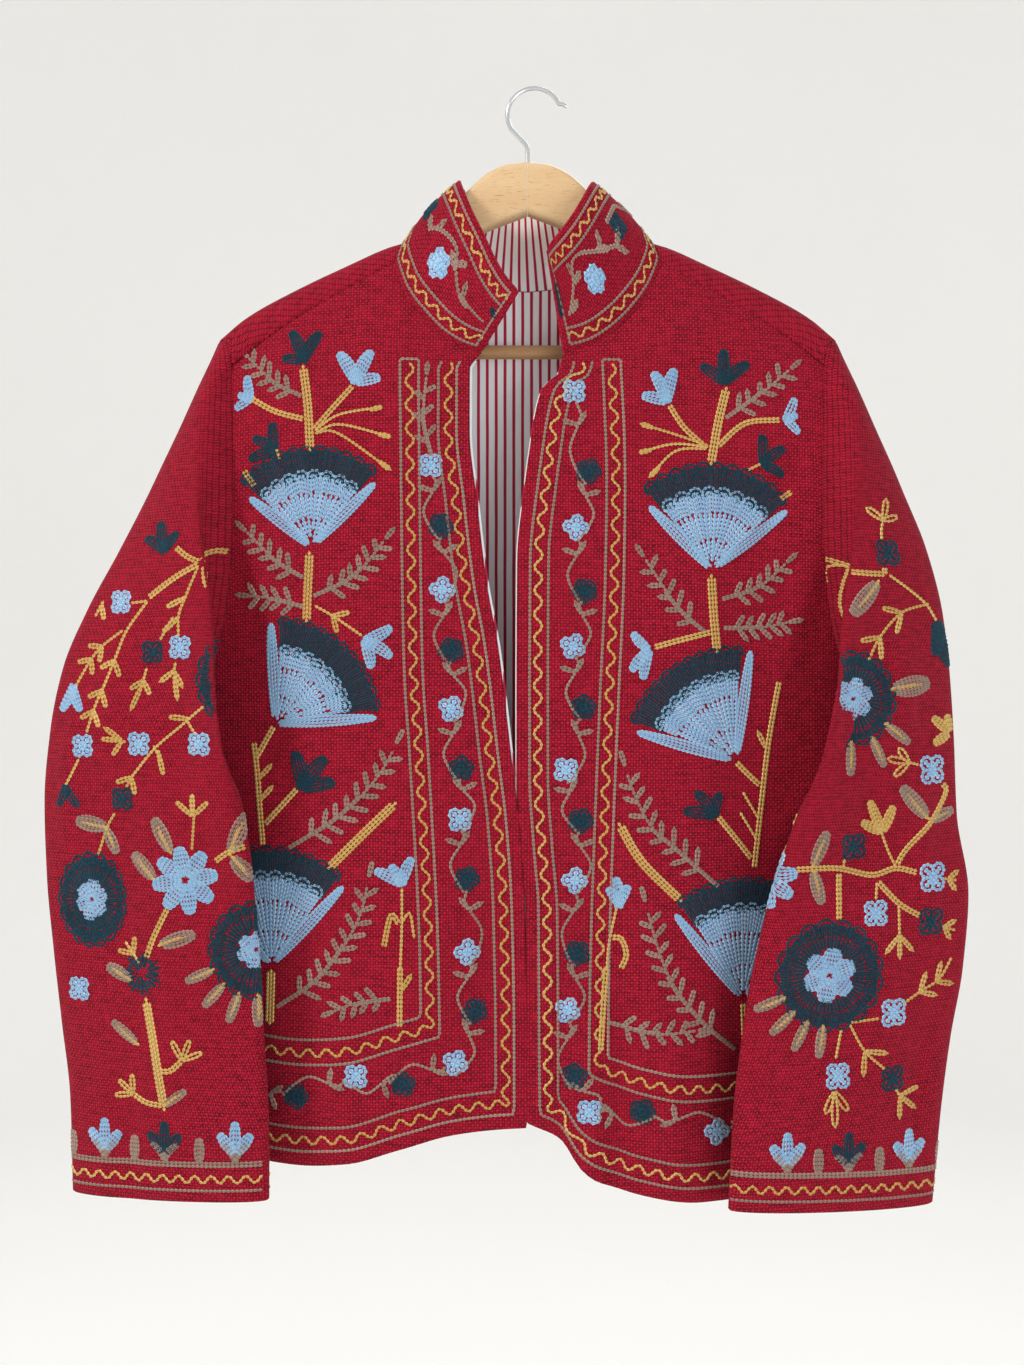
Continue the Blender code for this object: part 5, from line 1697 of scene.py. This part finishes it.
def beech(name, light, dark, flecks):
    """Steamed beech, planed and lacquered: straight fine grain along it with short brown flecks."""
    to = Surface(name, Roughness=0.42, Coat_Weight=0.15, Coat_Roughness=0.3)
    place = to.add("TexCoord")["Object"]
    long = to.add("Mapping", {"Vector": place, "Scale": (9.0, 60.0, 90.0)})[0]
    short = to.add("Mapping", {"Vector": place, "Scale": (170.0, 900.0, 1500.0)})[0]
    figure = to.add("TexNoise", {"Vector": long, "Scale": 1.0, "Detail": 4.0, "Roughness": 0.6})[0]
    fleck = to.add("TexNoise", {"Vector": short, "Scale": 1.0, "Detail": 1.0})[0]
    specks = to.add("MapRange", {0: fleck, 1: 0.62, 2: 0.74, 3: 0.0, 4: 0.55})[0]
    wood = to.add("Mix", {0: figure, 6: linear(light), 7: linear(dark)}, data_type="RGBA")[2]
    to.linked(to.add("Mix", {0: specks, 6: wood, 7: linear(flecks)}, data_type="RGBA")[2])
    to.linked(to.add("Bump", {"Strength": 0.15, "Distance": 0.0002, "Height": fleck})[0], "Normal")
    return to.made


def chromed_wire():
    """Drawn steel wire with bright chrome: a clean mirror, very slightly streaked along its length."""
    to = Surface("chromed_wire", Metallic=1.0)
    streaks = to.add("TexNoise", {"Vector": to.add("TexCoord")["Object"], "Scale": 900.0})[0]
    to.linked(to.add("MapRange", {0: streaks, 3: 0.12, 4: 0.26})[0], "Roughness")
    tint = {0: streaks, 6: linear("#C9CCD0"), 7: linear("#DEE0E3")}
    to.linked(to.add("Mix", tint, data_type="RGBA")[2])
    return to.made


def painted_plaster():
    """Pale matt studio plaster, faintly mottled."""
    to = Surface("painted_plaster", Roughness=0.9)
    place = to.add("TexCoord")["Object"]
    mottle = to.add("TexNoise", {"Vector": place, "Scale": 0.8, "Detail": 3.0})[0]
    tint = {0: mottle, 6: linear("#F1F0EE"), 7: linear("#F5F5F3")}
    to.linked(to.add("Mix", tint, data_type="RGBA")[2])
    return to.made


def nothing_selected():
    """Leaves edit mode and clears the selection before the next piece is modelled."""
    if bpy.context.object and bpy.context.object.mode != "OBJECT":
        bpy.ops.object.mode_set(mode="OBJECT")
    bpy.ops.object.select_all(action="DESELECT")


def seated(made, name, surface):
    """Names a modelled piece, gives it its material and puts its place into its mesh."""
    made.name = made.data.name = name
    nothing_selected()
    made.select_set(True)
    bpy.context.view_layer.objects.active = made
    bpy.ops.object.transform_apply(location=True, rotation=True, scale=True)
    made.data.materials.clear()
    made.data.materials.append(surface)
    return made


def placed_mm(x, y, z):
    """One place in table millimetres as metres in the part's frame."""
    return tuple(placed((x, y, z)))


def hanger_arm(side, surface):
    """One half of the shaped hanger, cut from a board: its outline filled, pushed out and rounded."""
    shoulder = np.linspace(96, 191, 26)
    top_x = np.linspace(0, 90, 26)
    top = [*zip(top_x, smooth(CROWN, top_x)), *zip(shoulder, smooth(RIDGE, shoulder) - ARM_BELOW_RIDGE)]
    under_x = np.linspace(172, 0, 22)
    outline = [*top, *ARM_END, *zip(under_x, smooth(ARM_UNDER, under_x))]
    gap = SEAM_GAP / 2
    nothing_selected()
    bpy.ops.mesh.primitive_plane_add(size=0.01)
    made = bpy.context.object
    shape = bmesh.new()
    corners = [
        shape.verts.new(placed_mm(side * max(x, gap), -HANGER_THICK / 2, z)) for x, z in outline
    ]
    shape.faces.new(corners)
    shape.to_mesh(made.data)
    shape.free()
    bpy.ops.object.mode_set(mode="EDIT")
    bpy.ops.mesh.select_all(action="SELECT")
    bpy.ops.mesh.extrude_region_move(TRANSFORM_OT_translate={"value": (0, HANGER_THICK * MM, 0)})
    bpy.ops.mesh.select_all(action="SELECT")
    bpy.ops.mesh.normals_make_consistent(inside=False)
    bpy.ops.object.mode_set(mode="OBJECT")
    mitre = placed_mm(side * gap, 0, 0)[0]
    rounded = made.data.attributes.new("bevel_weight_edge", "FLOAT", "EDGE")
    for edge in made.data.edges:
        start, end = (made.data.vertices[k].co for k in edge.vertices)
        on_mitre = abs(start.x - mitre) < 1e-6 and abs(end.x - mitre) < 1e-6
        rounded.data[edge.index].value = float(abs(start.y - end.y) < 1e-6 and not on_mitre)
    round_over = made.modifiers.new("rounded edges", "BEVEL")
    round_over.width = ARM_EDGE_BEVEL * MM
    round_over.segments = 6
    round_over.limit_method = "WEIGHT"
    bpy.ops.object.modifier_apply(modifier=round_over.name)
    bpy.ops.object.shade_smooth_by_angle(angle=math.radians(35))
    return seated(made, f"wooden_arm_{SIDE_NAMES[side]}", surface)


def wooden_bar(surface):
    """The round bar for trousers, its two ends eased where they enter the arms."""
    reach = ARM_END[-1][0] - 2 * SEAM_GAP
    nothing_selected()
    bpy.ops.mesh.primitive_cylinder_add(
        vertices=40, radius=BAR_RADIUS * MM, depth=2 * reach * MM, end_fill_type="NGON",
        location=placed_mm(0, 0, BAR_Z), rotation=(0, math.pi / 2, 0),
    )
    made = bpy.context.object
    eased = made.modifiers.new("eased ends", "BEVEL")
    eased.width = 0.8 * MM
    eased.segments = 3
    eased.limit_method = "ANGLE"
    bpy.ops.object.modifier_apply(modifier=eased.name)
    bpy.ops.object.shade_smooth_by_angle(angle=math.radians(35))
    return seated(made, "round_trouser_bar", surface)


def wire_hook(surface):
    """The hook: smoothly bent wire with a rounded tip, its stem standing on the hanger's crown."""
    loop = HOOK_RADIUS + WIRE_RADIUS
    middle = (-CENTRE_X, HOOK_TOP_Z - HOOK_RADIUS)
    route = [(28.0, -1.8), (24.6, 0.4)]
    for degrees in range(26, 207, 12):
        turn = math.radians(degrees)
        route.append((middle[0] + loop * math.cos(turn), middle[1] + loop * math.sin(turn)))
    route += [(-10.2, -18.6), (-6.0, -23.0), (-2.0, -27.2), (-0.4, -30.0), (0, -33.5)]
    route.append((0, CROWN_TOP_Z + SEAM_GAP))
    line = curve(*(x + 1j * z for x, z in route), steps=5)
    nothing_selected()
    bpy.ops.curve.primitive_nurbs_path_add()
    bent = bpy.context.object
    wire = bent.data
    wire.splines.clear()
    spline = wire.splines.new("POLY")
    spline.points.add(len(line) - 1)
    for k, spot in enumerate(line):
        spline.points[k].co = (*placed_mm(spot.real, 0, spot.imag), 1)
        from_tip = abs(spot - line[0])
        spline.points[k].radius = min(1.0, 0.55 + 0.32 * from_tip)
    wire.dimensions = "3D"
    wire.bevel_depth = WIRE_RADIUS * MM
    wire.bevel_resolution = 4
    wire.use_fill_caps = True
    bpy.ops.object.convert(target="MESH")
    made = bpy.context.object
    bpy.ops.object.mode_set(mode="EDIT")
    bpy.ops.mesh.select_all(action="SELECT")
    bpy.ops.mesh.remove_doubles(threshold=0.00001)
    bpy.ops.mesh.normals_make_consistent(inside=False)
    bpy.ops.object.mode_set(mode="OBJECT")
    bpy.ops.object.shade_smooth_by_angle(angle=math.radians(50))
    return seated(made, "bent_wire_hook", surface)


def hanger():
    """The two arms, the bar for trousers and the hook."""
    pale = beech("pale_beech", "#DDC197", "#C9A06E", "#94683C")
    stained = beech("stained_beech", "#B98C5A", "#946A40", "#5F4126")
    for side in (LEFT, RIGHT):
        arm = ridden(hanger_arm(side, pale), "beech")
        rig.replaces(arm, f"hanger_arm_{SIDE_NAMES[side]}")
    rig.replaces(ridden(wooden_bar(stained), "stained_bar"), "trouser_bar")
    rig.replaces(ridden(wire_hook(chromed_wire()), "chromed_wire"), "hanger_hook")


def aimed(made, target):
    """Turns a lamp towards a place."""
    made.rotation_euler = (Vector(target) - made.location).to_track_quat("-Z", "Y").to_euler()


def lamp(name, place, size, power, colour="#FFFFFF"):
    """A soft round lamp aimed at the middle of the jacket, power in watts."""
    light = bpy.data.lights.new(name, "AREA")
    light.shape = "DISK"
    light.size = size
    light.energy = power
    light.color = linear(colour)[:3]
    made = bpy.data.objects.new(name, light)
    bpy.context.scene.collection.objects.link(made)
    made.location = place
    aimed(made, (0, 0, -0.4))


def studio():
    """A pale round floor that curves up into a wall far off, soft lights, and the photograph's view."""
    turn = np.linspace(0, math.pi / 2, 9)
    bowl = [*zip(FLOOR_RADIUS + np.sin(turn), FLOOR_Z + 1 - np.cos(turn)), (FLOOR_RADIUS + 1, WALL_TOP)]
    around = np.linspace(0, 2 * math.pi, 97)[:-1]
    nothing_selected()
    shape = bmesh.new()
    rings = [[shape.verts.new((r * math.cos(a), r * math.sin(a), z)) for a in around] for r, z in bowl]
    middle = shape.verts.new((0, 0, FLOOR_Z))
    for k in range(len(around)):
        after = (k + 1) % len(around)
        shape.faces.new([middle, rings[0][k], rings[0][after]])
        for low, high in zip(rings, rings[1:]):
            shape.faces.new([low[k], high[k], high[after], low[after]])
    mesh = bpy.data.meshes.new("studio_floor")
    shape.to_mesh(mesh)
    shape.free()
    mesh.shade_smooth()
    mesh.materials.append(painted_plaster())
    floor = bpy.data.objects.new("studio_floor", mesh)
    bpy.context.scene.collection.objects.link(floor)
    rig.stage(floor)

    lamp("key", (-2.1, -1.4, 1.3), 0.6, 50, "#FFF9F3")
    lamp("fill", (1.3, -2.4, -0.7), 1.2, 20, "#F6F9FF")
    lamp("rim", (0.6, 2.0, 1.4), 1.4, 20)
    world = bpy.context.scene.world or bpy.data.worlds.new("soft_sky")
    bpy.context.scene.world = world
    world.use_nodes = True
    sky = world.node_tree.nodes["Background"]
    sky.inputs["Color"].default_value = linear("#FAFBFC")
    sky.inputs["Strength"].default_value = 0.80
    bpy.context.scene.view_settings.view_transform = "Standard"

    camera = bpy.data.cameras.new("camera")
    camera.sensor_width = SENSOR
    camera.lens = SENSOR * EYE / (PHOTO_HEIGHT * PIXEL)
    camera.clip_end = 20
    made = bpy.data.objects.new("camera", camera)
    bpy.context.scene.collection.objects.link(made)
    made.location = placed((SEEN_FROM.real, SEEN_DEPTH - EYE, SEEN_FROM.imag))
    made.rotation_euler = (math.pi / 2, 0, 0)
    bpy.context.scene.camera = made


def cut_places(grid):
    """Each point's place in the cut laid flat: x as it hangs, and its height along the cloth."""
    step = np.linalg.norm(np.diff(grid[::-1], axis=0), axis=-1)
    up = np.vstack([np.zeros((1, grid.shape[1])), np.cumsum(step, axis=0)])[::-1]
    return np.stack([grid[..., 0], up + grid[-1, :, 2]], axis=-1)


def tube_places(grid, middle):
    """The same for a sleeve: distance round it from its overarm fold, and height."""
    ring = np.concatenate([grid, grid[:, :1]], axis=1)
    across = np.cumsum(np.linalg.norm(np.diff(ring, axis=1), axis=-1), axis=1)
    across = np.hstack([np.zeros((len(grid), 1)), across])
    return np.stack([across - across[:, middle : middle + 1], ring[..., 2]], axis=-1)


def band_places(grid):
    """The same for the collar: distance along it and across it."""
    across = np.broadcast_to(lengths(grid[-1]), grid.shape[:2])
    step = np.linalg.norm(np.diff(grid, axis=0), axis=-1)
    down = np.vstack([np.zeros((1, grid.shape[1])), np.cumsum(step, axis=0)])
    return np.stack([across, -down], axis=-1)


def moved_in(grid, distance):
    """A grid moved inwards, for the lining behind the cloth."""
    return grid - normals(grid) * distance


def short_of_fold(side, chart):
    """Whether a row on a sleeve's back stays clear of the overarm fold, where the front's rows turn in."""
    return lambda line: bool(np.all(side * (line.real - chart.fold(line.imag)) < -4))


def ridden(piece, slot_name):
    """Puts a piece on the root and gives it its slot."""
    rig.ride(piece, "root")
    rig.slot(piece, slot_name)
    return piece


def crimson_piece(node, grid, flat, surface, round_about=False):
    """A piece of the crimson cloth, in place of its solid."""
    cloth = wall(f"cloth_{node}", grid, CLOTH, flat, surface, round_about)
    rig.replaces(ridden(cloth, "crimson_cotton"), node)
    return cloth


def lining_piece(name, node, grid, flat, surface):
    """A piece of the striped lining, in place of its solid."""
    lining = wall(name, grid, LINING, flat, surface)
    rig.replaces(ridden(lining, "striped_lining"), node)
    return lining


def embroidery(work, name, threads):
    """What has been sewn on a panel, one piece for each thread."""
    return [ridden(piece, "embroidery_thread") for piece in work.made(f"embroidery_{name}", threads)]


def main():
    """Builds every piece, then the studio round them."""
    crimson = crimson_slub_cotton()
    striped = striped_cotton_lining()
    # each thread's first colour is the painted shade of its links' eyes and joints, then come its dark and light tones
    # and its sheen's tint
    threads = {
        SKY: cotton_thread("sky_blue_embroidery_cotton", "#4E7CA6", "#74A6D2", "#B8DBF5", "#E4EEF9"),
        NAVY: cotton_thread("navy_embroidery_cotton", "#031219", "#082634", "#174657", "#6E8FA3"),
        GOLD: cotton_thread("golden_embroidery_cotton", "#8C5A26", "#BE9040", "#F2D283", "#F8E8BC"),
        TAUPE: cotton_thread("taupe_embroidery_cotton", "#5E3A36", "#80685C", "#BBA493", "#DCCEC4"),
    }
    inside = CLOTH / 2 + SEAM_GAP + LINING / 2

    for side in (LEFT, RIGHT):
        name = SIDE_NAMES[side]
        panel = front_panel(side, FRONT_COLUMNS, FRONT_ABOVE, FRONT_BELOW)[:, ::-side]
        cloth = crimson_piece(f"front_{name}", panel, cut_places(panel), crimson)
        work = Needlework(front_chart(side), 11 + side)
        borders(work, side)
        work.nearness = FRONT_NEARNESS
        (left_front_flowers if side == LEFT else right_front_flowers)(work)
        sewn = embroidery(work, f"front_{name}", threads)
        cut = CUTS[f"front_{name}"]
        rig.sheet(cloth, held="hung", rests_on=[f"hanger_arm_{name}"], with_pieces=sewn, **cut)

        behind = front_panel(side, FRONT_COLUMNS, FRONT_ABOVE, FRONT_BELOW, LINING_PAST_EDGE[side])
        behind = moved_in(behind[:, ::-side], inside)[1:-1]
        behind = behind[:, LINING_SHORT:] if side == LEFT else behind[:, :-LINING_SHORT]
        places = cut_places(behind)
        lining = lining_piece(f"lining_front_{name}", f"front_lining_{name}", behind, places, striped)
        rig.sheet(lining, held="hung", rests_on=[cloth], **CUTS[f"front_lining_{name}"])

        tube = sleeve(side, SLEEVE_COLUMNS, SLEEVE_ROWS)
        half = SLEEVE_COLUMNS // 2
        rolled = np.roll(tube, -half, axis=1)[:, ::-side]
        places = tube_places(rolled, half)
        cloth = crimson_piece(f"sleeve_{name}", rolled, places, crimson, round_about=True)
        sewn = []
        for behind in (False, True):
            work = Needlework(sleeve_chart(side, tube, behind), 21 + side + 5 * behind)
            if behind:
                work.within = short_of_fold(side, work.chart)
                work.link = FAR_LINK
            else:
                cuff(work)
                cuff_flowers(work, side)
                work.nearness = SLEEVE_NEARNESS
            (left_sleeve_flowers if side == LEFT else right_sleeve_flowers)(work)
            sewn += embroidery(work, f"sleeve_{name}_{'back' if behind else 'front'}", threads)
        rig.sheet(cloth, held="hung", rests_on=[f"cloth_front_{name}"], with_pieces=sewn, **CUTS["sleeve"])

    panel = back_panel(BACK_FINER, BACK_RIDGE, BACK_ABOVE, BACK_BELOW)[:, ::-1]
    cloth = crimson_piece("back", panel, cut_places(panel), crimson)
    work = Needlework(back_chart(), 31)
    work.link = FAR_LINK
    back_border(work)
    work.moved = 8j
    back_flowers(work)
    sewn = embroidery(work, "back", threads)
    arms = ["hanger_arm_left", "hanger_arm_right"]
    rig.sheet(cloth, held="hung", rests_on=arms, with_pieces=sewn, **CUTS["back"])

    behind = back_panel(BACK_FINER - 1, 4, BACK_ABOVE, BACK_BELOW, BACK_LINING_LOW)[:, ::-1]
    behind = moved_in(behind, inside)[:-1, 2:-2]
    lining = lining_piece("lining_back", "back_lining", behind, cut_places(behind), striped)
    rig.sheet(lining, held="hung", rests_on=[cloth], **CUTS["back_lining"])

    band = collar(COLLAR_COLUMNS, COLLAR_ROWS)
    turned = band[:, ::-1]
    cloth = crimson_piece("collar", turned, band_places(turned), crimson)
    work = Needlework(collar_chart(band), 41)
    collar_flowers(work, lengths(band[-1])[-1])
    sewn = embroidery(work, "collar", threads)
    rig.sheet(cloth, held="hung", rests_on=["cloth_back"], with_pieces=sewn, **CUTS["collar"])
    behind = moved_in(turned, inside)[:, 2:-2]
    lining = lining_piece("lining_collar", "collar_lining", behind, band_places(behind), striped)
    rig.sheet(lining, held="hung", rests_on=[cloth], **CUTS["collar_lining"])

    hanger()
    studio()


main()
with open("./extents.json", "w") as kept:
    json.dump([[list(corner) for corner in box] for box in (cad_box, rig.bounds())], kept)
